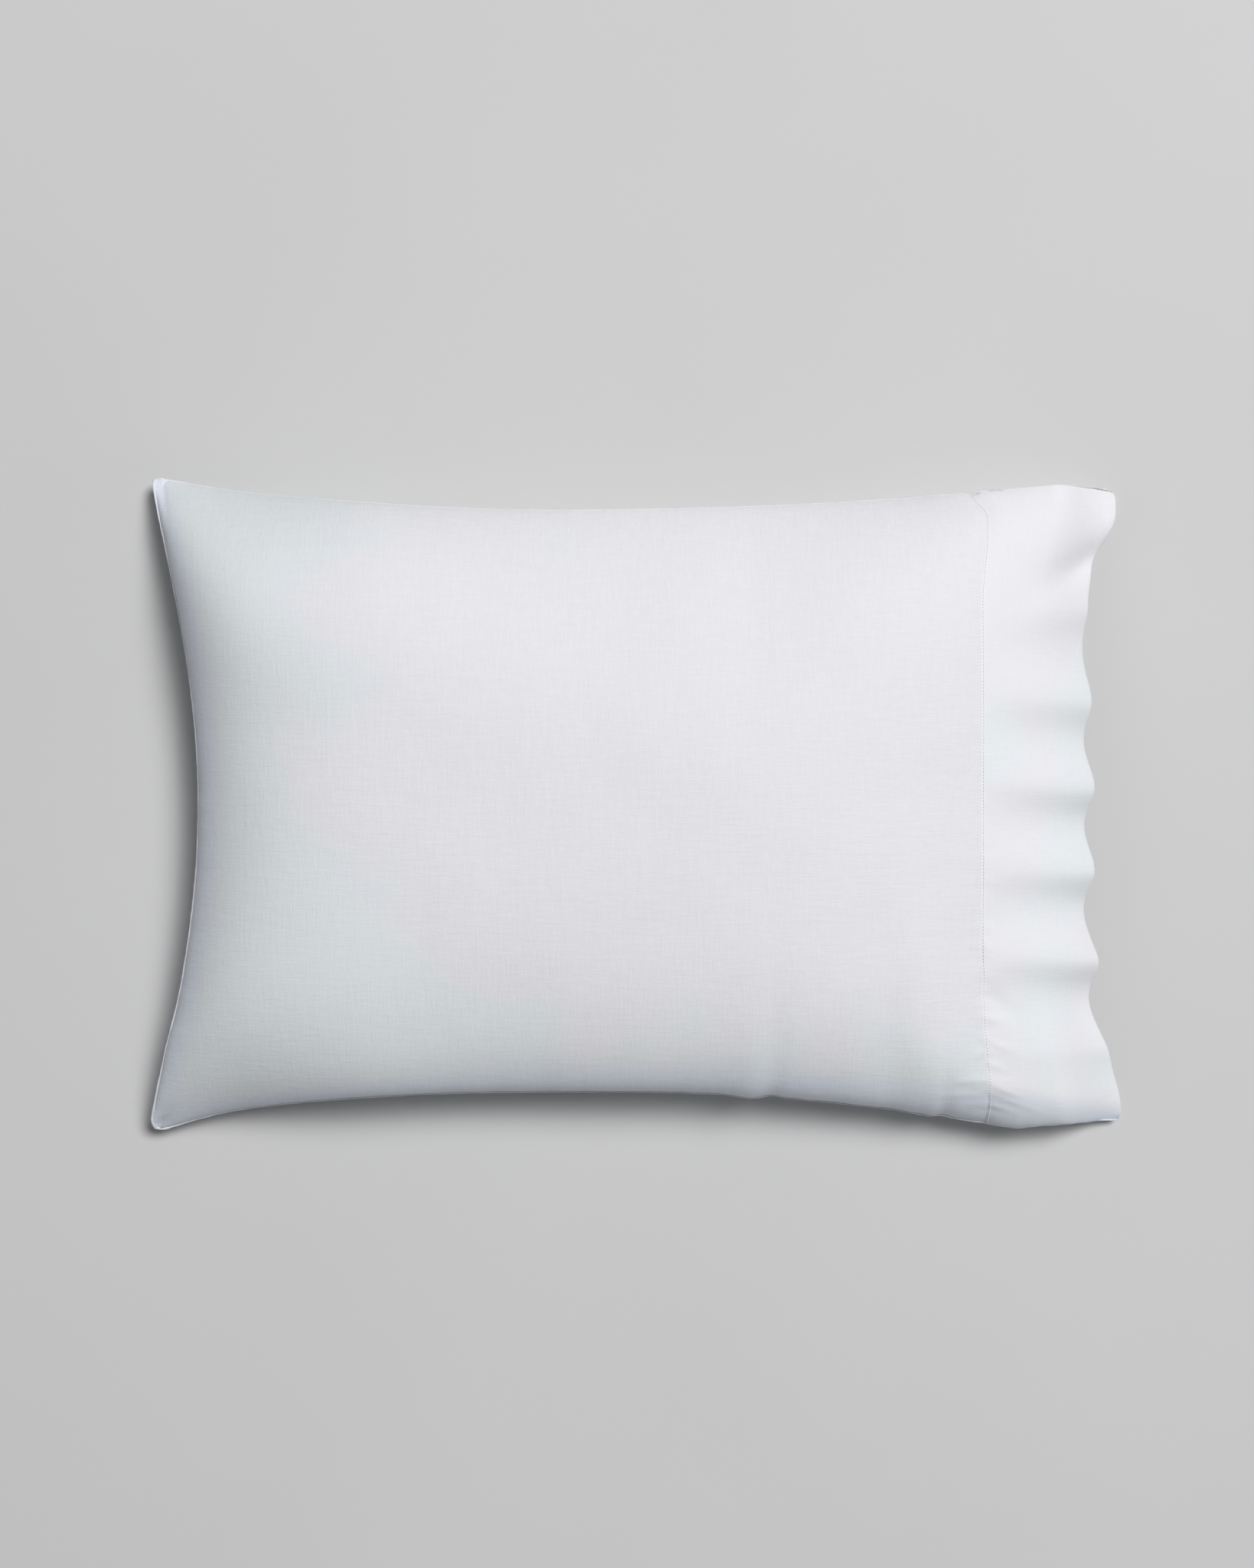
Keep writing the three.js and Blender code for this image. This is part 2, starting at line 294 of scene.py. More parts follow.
FRONT_FOLDS = (
    Fold(156 * MM, 5.6 * MM, slant=-10 * MM, reach=0.8),
    Fold(80 * MM, 8.4 * MM, slant=4 * MM, reach=0.7),
    Fold(12 * MM, 11.0 * MM, slant=5 * MM, reach=0.65),
    Fold(-54 * MM, 11.0 * MM, slant=4 * MM, reach=0.65),
    Fold(-123 * MM, 12.0 * MM, lower_width=18 * MM, slant=6 * MM, reach=0.55),
    Fold(-191 * MM, 5.5 * MM, lower_width=18 * MM, upper_width=30 * MM),
    Fold(198 * MM, -5.6 * MM, lower_width=15 * MM, upper_width=18 * MM, slant=-55 * MM,
         reach=2.2),
)
BACK_FOLDS = (
    Fold(118 * MM, 3.0 * MM, lower_width=30 * MM, upper_width=30 * MM),
    Fold(8 * MM, 3.5 * MM, lower_width=34 * MM, upper_width=30 * MM),
    Fold(-104 * MM, 3.0 * MM, lower_width=30 * MM, upper_width=34 * MM),
)


@dataclass
class PillowForm:
    """The smooth shape that every cloth layer of the pillow follows."""

    closed_x: float
    hem_x: float
    mouth_x: float
    half_width: float
    crown_height: float
    insert_end_x: float

    crown_u: float = -0.10
    end_pull: float = 43.5 * MM
    mouth_pull: float = 28.5 * MM
    mouth_skew: float = 4.0 * MM
    closed_tab: float = 2.0 * MM
    left_bow: EdgeBow = field(default_factory=lambda: EdgeBow(
        depth=28.5 * MM, middle=-0.16, left_power=2.0, right_power=1.9,
        right_end=0.87, right_depth=6.5 * MM, pinch=2.4 * MM, scallop=0.3 * MM, ear=2 * MM))
    right_bow: EdgeBow = field(default_factory=lambda: EdgeBow(
        depth=34 * MM, middle=-0.06, left_power=3.0, right_power=2.0,
        right_end=0.78, right_depth=1.8 * MM, pinch=0.8 * MM, scallop=0.5 * MM, ear=4 * MM,
        ear_reach=0.11, mouth_lift=3.0 * MM, nicks=(
            (0.235, -2.0 * MM, 0.034), (0.281, 1.8 * MM, 0.02), (0.58, -1.0 * MM, 0.034),
            (0.63, 1.6 * MM, 0.018))))

    corner_height: float = 20 * MM
    closed_middle_height: float = 67 * MM
    side_middle_height: float = 66 * MM
    hem_side_height: float = 44 * MM
    insert_end_height: float = 34 * MM
    mouth_corner_height: float = 11 * MM
    mouth_middle_height: float = 14 * MM
    mouth_rise: float = 13 * MM
    underside_depth: float = 92 * MM
    floor_softness: float = 5 * MM
    back_lift: float = 3 * MM
    back_short: float = 5 * MM

    end_roundness: float = 1.15
    end_fade: int = 3
    tab_span: Span = (0.55, 0.75)
    mouth_fade: int = 9
    mouth_spans: tuple[Span, Span] = ((0.62, 0.93), (0.60, 0.97))
    skew_span: Span = (0.42, 0.54)
    seam_drift: float = 10 * MM
    drift_start: float = 0.92
    drift_width: float = 0.09
    corner_radii: dict[tuple[int, int], float] = field(default_factory=lambda: {
        (-1, 1): 8 * MM, (-1, -1): 14 * MM, (1, 1): 9 * MM, (1, -1): 6 * MM})

    edge_hug: int = 4
    ear_rise: Span = (-1.0, -0.5)
    mouth_drop: Span = (0.86, 0.985)
    left_flank: Flank = Flank(flatness=2.2, roundness=0.85, hem_gain=2.0, hem_start=0.2,
                              swell=1.4, swell_span=(0.0, -0.6))
    right_flank: Flank = Flank(flatness=2.5, roundness=0.5, hem_gain=6.0, hem_start=0.5,
                               swell=0.5, swell_span=(-0.4, 0.2))
    side_change: Span = (-0.25, 0.25)
    closed_swell: float = 0.6
    closed_span: Span = (-0.3, -1.0)
    limp: float = 0.2
    limp_sag: float = 1.3
    shoulder: float = 5.0
    shoulder_gain: float = 3.5
    shoulder_span: Span = (0.2, 0.8)
    shoulder_roundness: float = 0.68
    mouth_fall: float = 2.9
    belly_flatness: float = 2.2
    belly_roundness: float = 0.62
    belly_rise: float = 0.75
    back_lift_start: float = 0.45
    back_lift_short: float = 0.05
    empty_corner: float = 15 * MM
    inside_power: float = 0.3

    fold_outreach: float = 0.77
    fold_held: Span = (0.86, 0.99)
    back_held: Span = (0.9, 1.0)
    back_short_power: float = 1.6

    @property
    def half_length(self) -> float:
        """Half the length from closed end to mouth."""
        return (self.mouth_x - self.closed_x) / 2

    @property
    def centre_x(self) -> float:
        """Middle of the length."""
        return (self.mouth_x + self.closed_x) / 2

    @property
    def hem_u(self) -> float:
        """The hem line as a grid value."""
        return (self.hem_x - self.centre_x) / self.half_length

    @property
    def insert_end_u(self) -> float:
        """The insert's far end as a grid value."""
        return (self.insert_end_x - self.centre_x) / self.half_length

    def from_crown(self, u: Array) -> Array:
        """Distance from the crown as a share of the way to the nearer end."""
        c = self.crown_u
        return np.where(u < c, (c - u) / (1 + c), (u - c) / (1 - c))

    def outline(self, u: Array, v: Array) -> tuple[Array, Array]:
        """Where a grid point lies, seen from above, before the corners are rounded.

        Args:
            u: Grid values along the pillow.
            v: Grid values across it.

        Returns:
            Places along X and along Y.
        """
        closed = (self.end_pull * (1 - v**2) ** self.end_roundness
                  - self.closed_tab * ease(-v, *self.tab_span))
        to_left, to_right = self.mouth_spans
        open_share = np.where(v > 0, ease(v, *to_left), ease(-v, *to_right))
        mouth = self.mouth_pull * (1 - open_share) - self.mouth_skew * ease(-v, *self.skew_span)
        drift = (self.seam_drift * ease(v, self.drift_start, 1.0)
                 * bell(u - self.hem_u, self.drift_width))
        x = (self.centre_x + self.half_length * u + closed * ((1 - u) / 2) ** self.end_fade
             - mouth * ((1 + u) / 2) ** self.mouth_fade - drift)
        left = self.half_width - self.left_bow.pull(u, self.hem_u)
        right = -self.half_width + self.right_bow.pull(u, self.hem_u)
        return x, lerp(right, left, (v + 1) / 2)

    def plan(self, u: Array, v: Array) -> tuple[Array, Array]:
        """Where a grid point lies, seen from above.

        Args:
            u: Grid values along the pillow.
            v: Grid values across it.

        Returns:
            Places along X and along Y.
        """
        x, y = self.outline(u, v)
        for (end, flank), radius in self.corner_radii.items():
            end_x = self.outline(end + 0 * u, v)[0]
            flank_y = self.outline(u, flank + 0 * v)[1]
            ahead = 1 - np.abs(end_x - x) / radius
            aside = 1 - np.abs(flank_y - y) / radius
            cornered = (ahead > 0) & (aside > 0) & (u * end > 0) & (v * flank > 0)
            shrink = np.maximum(ahead, aside) / np.maximum(np.hypot(ahead, aside), TINY)
            x = np.where(cornered, end_x - end * radius * (1 - ahead * shrink), x)
            y = np.where(cornered, flank_y - flank * radius * (1 - aside * shrink), y)
        return x, y

    def middle(self, u: Array, v: Array) -> Array:
        """Height of the sewn edge, carried across the pillow as a middle surface.

        Args:
            u: Grid values along the pillow.
            v: Grid values across it.

        Returns:
            One height for each grid point.
        """
        c, end = self.crown_u, self.insert_end_u
        centre = np.where(
            u < c,
            self.closed_middle_height,
            lerp(lerp(self.closed_middle_height, self.insert_end_height, ease(u, c, end)),
                 self.mouth_middle_height, ease(u, end, 1)))
        side = np.where(
            u < c,
            lerp(self.corner_height, self.side_middle_height, ease(u, *self.ear_rise)),
            lerp(lerp(self.side_middle_height, self.hem_side_height, ease(u, c, self.hem_u)),
                 self.mouth_corner_height, ease(u, *self.mouth_drop)))
        return lerp(centre, side, np.abs(v) ** self.edge_hug)

    def across(self, u: Array, v: Array) -> Array:
        """Plump cross-section over the width, boxier towards the insert's far end.

        Args:
            u: Grid values along the pillow.
            v: Grid values across it.

        Returns:
            Share of full height at each grid point.
        """
        to_left = ease(v, *self.side_change)
        left, right = self.left_flank, self.right_flank
        flatness = lerp(right.flatness_at(u, self.hem_u), left.flatness_at(u, self.hem_u),
                        to_left) + self.closed_swell * ease(u, *self.closed_span)
        slack = self.limp * ease(u, right.hem_start, self.hem_u) * (1 - to_left)
        stuffed = plump(v, flatness, lerp(right.roundness + slack, left.roundness, to_left))
        return lerp(stuffed, 1 - v**2, self.limp_sag * slack)

    def crown(self, u: Array, v: Array) -> Array:
        """Height that the front reaches at u, with a square shoulder at the left corner.

        Args:
            u: Grid values along the pillow.
            v: Grid values across it.

        Returns:
            One height for each grid point.
        """
        t = self.from_crown(u)
        shoulder = self.shoulder + self.shoulder_gain * ease(v, *self.shoulder_span)
        closed = lerp(self.closed_middle_height, self.crown_height,
                      plump(t, shoulder, self.shoulder_roundness))
        edge = self.mouth_middle_height + self.mouth_rise
        opened = lerp(edge, self.crown_height, 1 - t**self.mouth_fall)
        return np.where(u < self.crown_u, closed, opened)

    def belly(self, t: Array) -> Array:
        """Share of full depth at a share t of the way from the middle to the closed end."""
        return plump(t, self.belly_flatness, self.belly_roundness)

    def height(self, u: Array, v: Array, side: Side) -> Array:
        """Height of the case's outside on the front or the back.

        Args:
            u: Grid values along the pillow.
            v: Grid values across it.
            side: Front or back.

        Returns:
            One height for each grid point.
        """
        middle = self.middle(u, v)
        if side is Side.FRONT:
            rise = (self.crown(u, v) - self.middle(u, np.zeros_like(v))) * self.across(u, v)
            return middle + rise * self.stuffed(u, v)
        t = self.from_crown(u)
        lengthwise = np.where(u < self.crown_u, self.belly(t), 1 - self.belly_rise * t**3)
        lifted = self.back_lift * ease(u, self.back_lift_start,
                                       self.hem_u - self.back_lift_short)
        below = middle - self.underside_depth * lengthwise * self.across(u, v)
        return lifted + soft_floor(below - lifted, self.floor_softness)

    def stuffed(self, u: Array, v: Array) -> Array:
        """0 at the closed end's two corners, where the case is empty, and 1 elsewhere."""
        along, across = (1 + u) * self.half_length, (1 - np.abs(v)) * self.half_width
        return 1 - bell(np.hypot(along, across), self.empty_corner)

    def inside(self, u: Array, v: Array) -> Array:
        """1 well inside the pillow, falling to 0 on the sewn edges."""
        lengthwise = np.where(u < self.crown_u, self.belly(self.from_crown(u)), 1)
        return (lengthwise * self.across(u, v)) ** self.inside_power

    def ripples(self, u: Array, v: Array, y: Array, side: Side) -> tuple[Array, Array]:
        """Soft waves of the limp hem beyond the insert.

        Args:
            u: Grid values along the pillow.
            v: Grid values across the pillow.
            y: Where the points lie across the pillow.
            side: The front hem or the back one.

        Returns:
            How far each point moves along X and along Z.
        """
        loose = np.clip((u - self.hem_u) / (1 - self.hem_u), 0, 1)
        held = 1 - ease(np.abs(v), *self.fold_held)
        folds = FRONT_FOLDS if side is Side.FRONT else BACK_FOLDS
        rise = sum(fold.height * fold.shape(y, loose) for fold in folds) * held
        outwards = self.fold_outreach * rise * loose
        if side is Side.BACK:
            outwards = outwards - (self.back_short * loose**self.back_short_power
                                   * (1 - ease(np.abs(v), *self.back_held)))
        return outwards, rise

    def surface(self, us: Array, vs: Array, side: Side) -> Array:
        """Points of the case's outside on the grid of us and vs, in rows of constant u.

        Args:
            us: Stations along it.
            vs: Stations across it.
            side: Front or back.

        Returns:
            A grid of points.
        """
        u, v = np.meshgrid(us, vs, indexing="ij")
        x, y = self.plan(u, v)
        z = self.height(u, v, side)
        shift_x, shift_z = self.ripples(u, v, y, side)
        return np.stack([x + shift_x, y, z + shift_z], axis=-1)


# ---- Turning grids into solid cloth -----------------------------------------------------


def grid_normals(points: Array, side: Side) -> Array:
    """Outward unit normals of a grid of points.

    Args:
        points: The grid.
        side: Front or back.

    Returns:
        One normal for each point.
    """
    along = np.gradient(points, axis=0)
    across = np.gradient(points, axis=1)
    return unit(np.cross(along, across)) * side.value


@dataclass
class MeshMaker:
    """Collects vertices and faces, and makes one smooth-shaded object of them."""

    vertices: list[Array] = field(default_factory=list)
    faces: list[Array] = field(default_factory=list)
    count: int = 0
    sharp_angle: ClassVar[float] = math.radians(65)

    def add(self, points: Array, quads: Array) -> None:
        """Adds points, and quads that count from the first of them.

        Args:
            points: Points in any grid.
            quads: Corner numbers, four to a face.
        """
        self.vertices.append(points.reshape(-1, 3))
        self.faces.append(quads.reshape(-1, 4) + self.count)
        self.count += len(self.vertices[-1])

    def sleeve(self, rings: Array, closed: bool = False) -> None:
        """Adds a skin over rings of points, and caps its two ends.

        Args:
            rings: Points as (ring, place on the ring, 3).
            closed: Whether the last ring joins the first instead of being capped.
        """
        n, m = rings.shape[:2]
        last = n if closed else n - 1
        i, j = np.meshgrid(np.arange(last), np.arange(m), indexing="ij")
        here, there = i * m + j, ((i + 1) % n) * m + j
        here_next, there_next = i * m + (j + 1) % m, ((i + 1) % n) * m + (j + 1) % m
        self.add(rings, np.stack([here, here_next, there_next, there], axis=-1))
        if not closed:
            self._cap(0, m, self.count - n * m)
            self._cap(1, m, self.count - m)

    def _cap(self, end: int, m: int, first: int) -> None:
        """Closes a ring of m points with a strip of quads across it.

        Args:
            end: 0 for the first ring and 1 for the last.
            m: Points on the ring.
            first: Number of the ring's first point.
        """
        quads = []
        for k in range((m - 2) // 2):
            a, b, c, d = k, k + 1, m - 2 - k, m - 1 - k
            quads.append([a, d, c, b] if end == 0 else [a, b, c, d])
        self.faces.append(np.array(quads).reshape(-1, 4) + first)

    def build(self, name: str) -> bpy.types.Object:
        """Makes the object, with its faces pointing out.

        Args:
            name: Name of the piece.

        Returns:
            The object, linked to the scene.
        """
        mesh = bpy.data.meshes.new(name)
        points, quads = np.concatenate(self.vertices), np.concatenate(self.faces)
        mesh.from_pydata(points.tolist(), [], quads.tolist())
        mesh.validate()
        mesh.polygons.foreach_set("use_smooth", np.ones(len(mesh.polygons), bool))
        mesh.set_sharp_from_angle(angle=self.sharp_angle)
        mesh.update()
        obj = bpy.data.objects.new(name, mesh)
        bpy.context.scene.collection.objects.link(obj)
        return obj


def cloth_solid(name: str, outer: Array, side: Side, thickness: float,
                rounding: int = 4) -> bpy.types.Object:
    """Makes a layer of cloth with rounded edges at its two ends.

    Args:
        name: Name of the piece.
        outer: Grid of points on its outside, rows of constant u.
        side: Which way its outside faces.
        thickness: Thickness of the cloth.
        rounding: Steps round each end.

    Returns:
        A closed mesh object.
    """
    normals = grid_normals(outer, side)
    centre = outer - normals * thickness / 2
    along = unit(np.gradient(centre, axis=0))
    turns = np.linspace(0, math.pi, rounding + 2)[1:-1, None, None]

    def rolled(row: int, direction: float) -> Array:
        """The rounded edge at one end, from the outside to the inside.

        Args:
            row: Row of the grid at that end.
            direction: 1 for the last row, -1 for the first.

        Returns:
            One row of points for each step of the bend.
        """
        out, ahead = normals[row], along[row] * direction
        return centre[row] + (out * np.cos(turns) + ahead * np.sin(turns)) * thickness / 2

    inner = outer - normals * thickness
    loop = np.concatenate([outer, rolled(-1, 1.0), inner[::-1], rolled(0, -1.0)[::-1]])
    rings = loop.transpose(1, 0, 2)
    maker = MeshMaker()
    maker.sleeve(rings if side is Side.BACK else rings[:, ::-1])
    return maker.build(name)


def tube_rings(path: Array, radius: Any, corners: int, closed: bool = False) -> Array:
    """Rings of points round a path.

    Args:
        path: Points along the middle of the tube.
        radius: Its radius, a number or one for each point.
        corners: Points on each ring.
        closed: Whether the end of the path meets its start.

    Returns:
        Rings as (ring, place on the ring, 3).
    """
    if closed:
        tangent = unit(np.roll(path, -1, axis=0) - np.roll(path, 1, axis=0))
    else:
        tangent = unit(np.gradient(path, axis=0))
    sideways = unit(np.cross(UP, tangent))
    upright = unit(np.cross(tangent, sideways))
    angles = np.arange(corners)[:, None] * 2 * math.pi / corners
    radius = np.broadcast_to(radius, len(path))[:, None, None]
    circle = sideways[:, None] * np.cos(angles) + upright[:, None] * np.sin(angles)
    return path[:, None] + circle * radius


def along_path(path: Array, spacing: float) -> Array:
    """Points spaced evenly along a path, ends included.

    Args:
        path: The path's points.
        spacing: Rough distance between the new ones.

    Returns:
        The new points.
    """
    lengths = np.concatenate([[0], np.cumsum(np.linalg.norm(np.diff(path, axis=0), axis=1))])
    count = max(2, int(round(lengths[-1] / spacing)) + 1)
    places = np.linspace(0, lengths[-1], count)
    return np.stack([np.interp(places, lengths, path[:, k]) for k in range(3)], axis=-1)


# ---- Finishes ---------------------------------------------------------------------------


def srgb(colour: str) -> tuple[float, float, float, float]:
    """Turns an sRGB hex colour such as '#e4e3e8' into linear RGBA.

    Args:
        colour: The hex colour.

    Returns:
        Linear red, green, blue and alpha.
    """
    values = [int(colour[k:k + 2], 16) / 255 for k in (1, 3, 5)]
    linear = [v / 12.92 if v <= 0.04045 else ((v + 0.055) / 1.055) ** 2.4 for v in values]
    return (*linear, 1.0)


def add_node(tree: bpy.types.NodeTree, kind: str, settings: dict[str, Any] | None = None,
             sockets: dict[Any, Any] | None = None) -> bpy.types.Node:
    """Adds one shader node.

    Args:
        tree: Node tree it goes into.
        kind: Blender's type name of the node.
        settings: Properties of the node.
        sockets: For each input, by name or number, a value or the output that feeds it.

    Returns:
        The node.
    """
    node = tree.nodes.new(kind)
    for key, value in (settings or {}).items():
        setattr(node, key, value)
    for key, value in (sockets or {}).items():
        if isinstance(value, bpy.types.NodeSocket):
            tree.links.new(value, node.inputs[key])
        else:
            node.inputs[key].default_value = value
    return node


# Each edge that gets the painted blue shade: its direction, how it bows, and where the tint
# starts and is full, in metres.
EDGE_SHADE_TINT = (
    ((1.0, 0.0, 0.0), (0.0, 0.756, 0.0), -0.312, -0.334),
    ((0.0, 1.0, 0.0), (0.262, 0.0, 0.0), -0.196, -0.213),
)


@dataclass(frozen=True)
class WovenFinish:
    """A plain-woven cloth: threads over and under, with thick and thin places in the yarn."""

    name: str
    colour: str
    cool: str
    shade: str
    thread: float
    slub_length: float
    slub_width: float
    slub_contrast: float
    relief: float
    # Painted blue shade, mixed in along the closed end and the right-hand side.
    shade_blue: str = "#e6ecf8"
    # The cool tint comes in random patches and, unless cool_spread is 0, as painted shade away
    # from the lit middle set by cool_from and cool_scale.
    cool_start: float = 1.4
    cool_spread: float = 1.0
    broad: float = 2.6
    weave_share: float = 0.35
    broad_share: float = 0.5
    layer_offsets: tuple[float, ...] = (3.1, 7.7, 5.3, 9.1)
    tone_span: Span = (0.75, 1.25)
    patches: float = 9.0
    patch_edge: float = 0.2
    cool_from: Span = (-0.31, -0.23)
    cool_scale: Span = (2.6, 3.9)
    roughness: float = 0.86
    sheen: float = 0.12
    sheen_roughness: float = 0.5
    ior: float = 1.45
    specular: float = 0.25

    def build(self) -> bpy.types.Material:
        """Makes the material.

        Returns:
            The material.
        """
        material = bpy.data.materials.new(self.name)
        material.use_nodes = True
        tree = material.node_tree
        tree.nodes.clear()
        place = add_node(tree, "ShaderNodeTexCoord").outputs["Object"]
        weave = self._weave(tree, place)
        fine = self._slubs(tree, place, 1.0, self.layer_offsets[:2])
        uneven = self._slubs(tree, place, 1 / self.broad, self.layer_offsets[2:])
        slubs = add_node(tree, "ShaderNodeMix", {"data_type": "FLOAT"}, {
            0: self.broad_share, 2: fine, 3: uneven})
        relief = add_node(tree, "ShaderNodeMath", {"operation": "MULTIPLY_ADD"},
                          {0: weave, 1: self.weave_share, 2: slubs.outputs[0]})
        tone = add_node(tree, "ShaderNodeMapRange", {}, {
            "Value": slubs.outputs[0], "From Min": self.tone_span[0],
            "From Max": self.tone_span[1],
            "To Min": self.slub_contrast, "To Max": 0.0})
        # Cool tint: random patches, and painted shade away from the lit middle.
        cooled = add_node(tree, "ShaderNodeMix", {"data_type": "RGBA"}, {
            0: self._cool_patches_and_shade(tree, place), 6: srgb(self.colour), 7: srgb(self.cool)})
        # Painted blue shade along the closed end and the right-hand side.
        edge_shaded = add_node(tree, "ShaderNodeMix", {"data_type": "RGBA"}, {
            0: self._painted_shade_edges(tree, place), 6: cooled.outputs[2], 7: srgb(self.shade_blue)})
        colour = add_node(tree, "ShaderNodeMix", {"data_type": "RGBA"}, {
            0: tone.outputs[0], 6: edge_shaded.outputs[2], 7: srgb(self.shade)})
        bump = add_node(tree, "ShaderNodeBump", {}, {
            "Strength": 1.0, "Distance": self.relief, "Height": relief.outputs[0]})
        shader = add_node(tree, "ShaderNodeBsdfPrincipled", {}, {
            "Base Color": colour.outputs[2], "Roughness": self.roughness,
            "Normal": bump.outputs[0], "Sheen Weight": self.sheen,
            "Sheen Roughness": self.sheen_roughness, "IOR": self.ior,
            "Specular IOR Level": self.specular})
        add_node(tree, "ShaderNodeOutputMaterial", {}, {"Surface": shader.outputs[0]})
        return material

    def _cool_patches_and_shade(self, tree: bpy.types.NodeTree,
                  place: bpy.types.NodeSocket) -> bpy.types.NodeSocket:
        """Share of the cool tint: patchy at random, and painted shade away from the lit middle.

        Args:
            tree: Node tree it goes into.
            place: Socket that gives the place on the piece, in metres.

        Returns:
            Socket that gives the share.
        """
        patches = add_node(tree, "ShaderNodeTexNoise", {}, {
            "Vector": place, "Scale": self.patches, "Detail": 1.5, "Roughness": 0.5})
        start = [value * self.cool_spread for value in self.cool_from]
        scale = [value * self.cool_spread for value in self.cool_scale]
        laid = add_node(tree, "ShaderNodeMapping", {}, {
            "Vector": place, "Location": (*start, 0.0), "Scale": (*scale, 0.0)})
        away = add_node(tree, "ShaderNodeVectorMath", {"operation": "LENGTH"},
                        {0: laid.outputs[0]})
        both = add_node(tree, "ShaderNodeMath", {"operation": "ADD"},
                        {0: patches.outputs["Fac"], 1: away.outputs["Value"]})
        share = add_node(tree, "ShaderNodeMapRange", {"interpolation_type": "SMOOTHSTEP"}, {
            "Value": both.outputs[0], "From Min": self.cool_start,
            "From Max": self.cool_start + self.patch_edge})
        return share.outputs[0]

    def _painted_shade_edges(self, tree: bpy.types.NodeTree,
                  place: bpy.types.NodeSocket) -> bpy.types.NodeSocket:
        """1 along the closed end and the right-hand side, where blue shade is painted.

        Args:
            tree: Node tree it goes into.
            place: Socket that gives the place on the piece, in metres.

        Returns:
            Socket that gives the share.
        """
        squares = add_node(tree, "ShaderNodeVectorMath", {"operation": "MULTIPLY"},
                           {0: place, 1: place})
        shares = []
        for across, bow, start, end in EDGE_SHADE_TINT:
            straight = add_node(tree, "ShaderNodeVectorMath", {"operation": "DOT_PRODUCT"},
                                {0: place, 1: across})
            bowed = add_node(tree, "ShaderNodeVectorMath", {"operation": "DOT_PRODUCT"},
                             {0: squares.outputs[0], 1: bow})
            inwards = add_node(tree, "ShaderNodeMath", {"operation": "ADD"},
                               {0: straight.outputs["Value"], 1: bowed.outputs["Value"]})
            shares.append(add_node(
                tree, "ShaderNodeMapRange", {"interpolation_type": "SMOOTHSTEP"},
                {"Value": inwards.outputs[0], "From Min": start, "From Max": end}).outputs[0])
        return add_node(tree, "ShaderNodeMath", {"operation": "MAXIMUM"},
                        {0: shares[0], 1: shares[1]}).outputs[0]

    def _weave(self, tree: bpy.types.NodeTree,
               place: bpy.types.NodeSocket) -> bpy.types.NodeSocket:
        """Over-and-under crossings, one for each pair of threads.

        Args:
            tree: Node tree it goes into.
            place: Socket that gives the place on the piece, in metres.

        Returns:
            Socket that gives the height.
        """
        bands = []
        for axis in ("X", "Y"):
            wave = add_node(tree, "ShaderNodeTexWave", {
                "wave_type": "BANDS", "bands_direction": axis, "wave_profile": "SIN"}, {
                "Vector": place, "Scale": math.pi / (10 * self.thread), "Distortion": 0.0})
            bands.append(add_node(tree, "ShaderNodeMath", {"operation": "SUBTRACT"},
                                  {0: wave.outputs["Fac"], 1: 0.5}).outputs[0])
        crossed = add_node(tree, "ShaderNodeMath", {"operation": "MULTIPLY"},
                           {0: bands[0], 1: bands[1]})
        return crossed.outputs[0]

    def _slubs(self, tree: bpy.types.NodeTree, place: bpy.types.NodeSocket, size: float,
               offsets: tuple[float, ...]) -> bpy.types.NodeSocket:
        """Thick and thin places of the warp and the weft together.

        Args:
            tree: Node tree it goes into.
            place: Socket that gives the place on the piece, in metres.
            size: Scale of the noise, 1 for slubs of their own size.
            offsets: Set the warp's layer and the weft's apart.

        Returns:
            Socket that gives the height.
        """
        warp = self._yarn(tree, place, (size / self.slub_width, size / self.slub_length),
                          offsets[0])
        weft = self._yarn(tree, place, (size / self.slub_length, size / self.slub_width),
                          offsets[1])
        return add_node(tree, "ShaderNodeMath", {"operation": "ADD"},
                        {0: warp, 1: weft}).outputs[0]

    def _yarn(self, tree: bpy.types.NodeTree, place: bpy.types.NodeSocket,
              scale: tuple[float, float], offset: float) -> bpy.types.NodeSocket:
        """Thick and thin places of the yarns that run one way.

        Args:
            tree: Node tree it goes into.
            place: Socket that gives the place on the piece, in metres.
            scale: Noise cells per metre along X and along Y.
            offset: Sets this layer apart from the others.

        Returns:
            Socket that gives the height.
        """
        laid = add_node(tree, "ShaderNodeMapping", {}, {
            "Vector": place, "Scale": (*scale, min(scale)), "Location": (offset, offset, offset)})
        noise = add_node(tree, "ShaderNodeTexNoise", {"noise_dimensions": "3D"}, {
            "Vector": laid.outputs[0], "Scale": 1.0, "Detail": 2.0, "Roughness": 0.55})
        return noise.outputs["Fac"]


@dataclass(frozen=True)
class PlasterFinish:
    """A matt painted surface to lay the pillow on, with faint trowel marks."""

    name: str
    colour: str
    shade: str
    mottle: float = 2.2
    roughness: float = 0.95
    specular: float = 0.1

    def build(self) -> bpy.types.Material:
        """Makes the material.

        Returns:
            The material.
        """
        material = bpy.data.materials.new(self.name)
        material.use_nodes = True
        tree = material.node_tree
        tree.nodes.clear()
        place = add_node(tree, "ShaderNodeTexCoord").outputs["Object"]
        noise = add_node(tree, "ShaderNodeTexNoise", {}, {
            "Vector": place, "Scale": self.mottle, "Detail": 4.0, "Roughness": 0.5})
        colour = add_node(tree, "ShaderNodeMix", {"data_type": "RGBA"}, {
            0: noise.outputs["Fac"], 6: srgb(self.colour), 7: srgb(self.shade)})
        shader = add_node(tree, "ShaderNodeBsdfPrincipled", {}, {
            "Base Color": colour.outputs[2], "Roughness": self.roughness,
            "Specular IOR Level": self.specular})
        add_node(tree, "ShaderNodeOutputMaterial", {}, {"Surface": shader.outputs[0]})
        return material
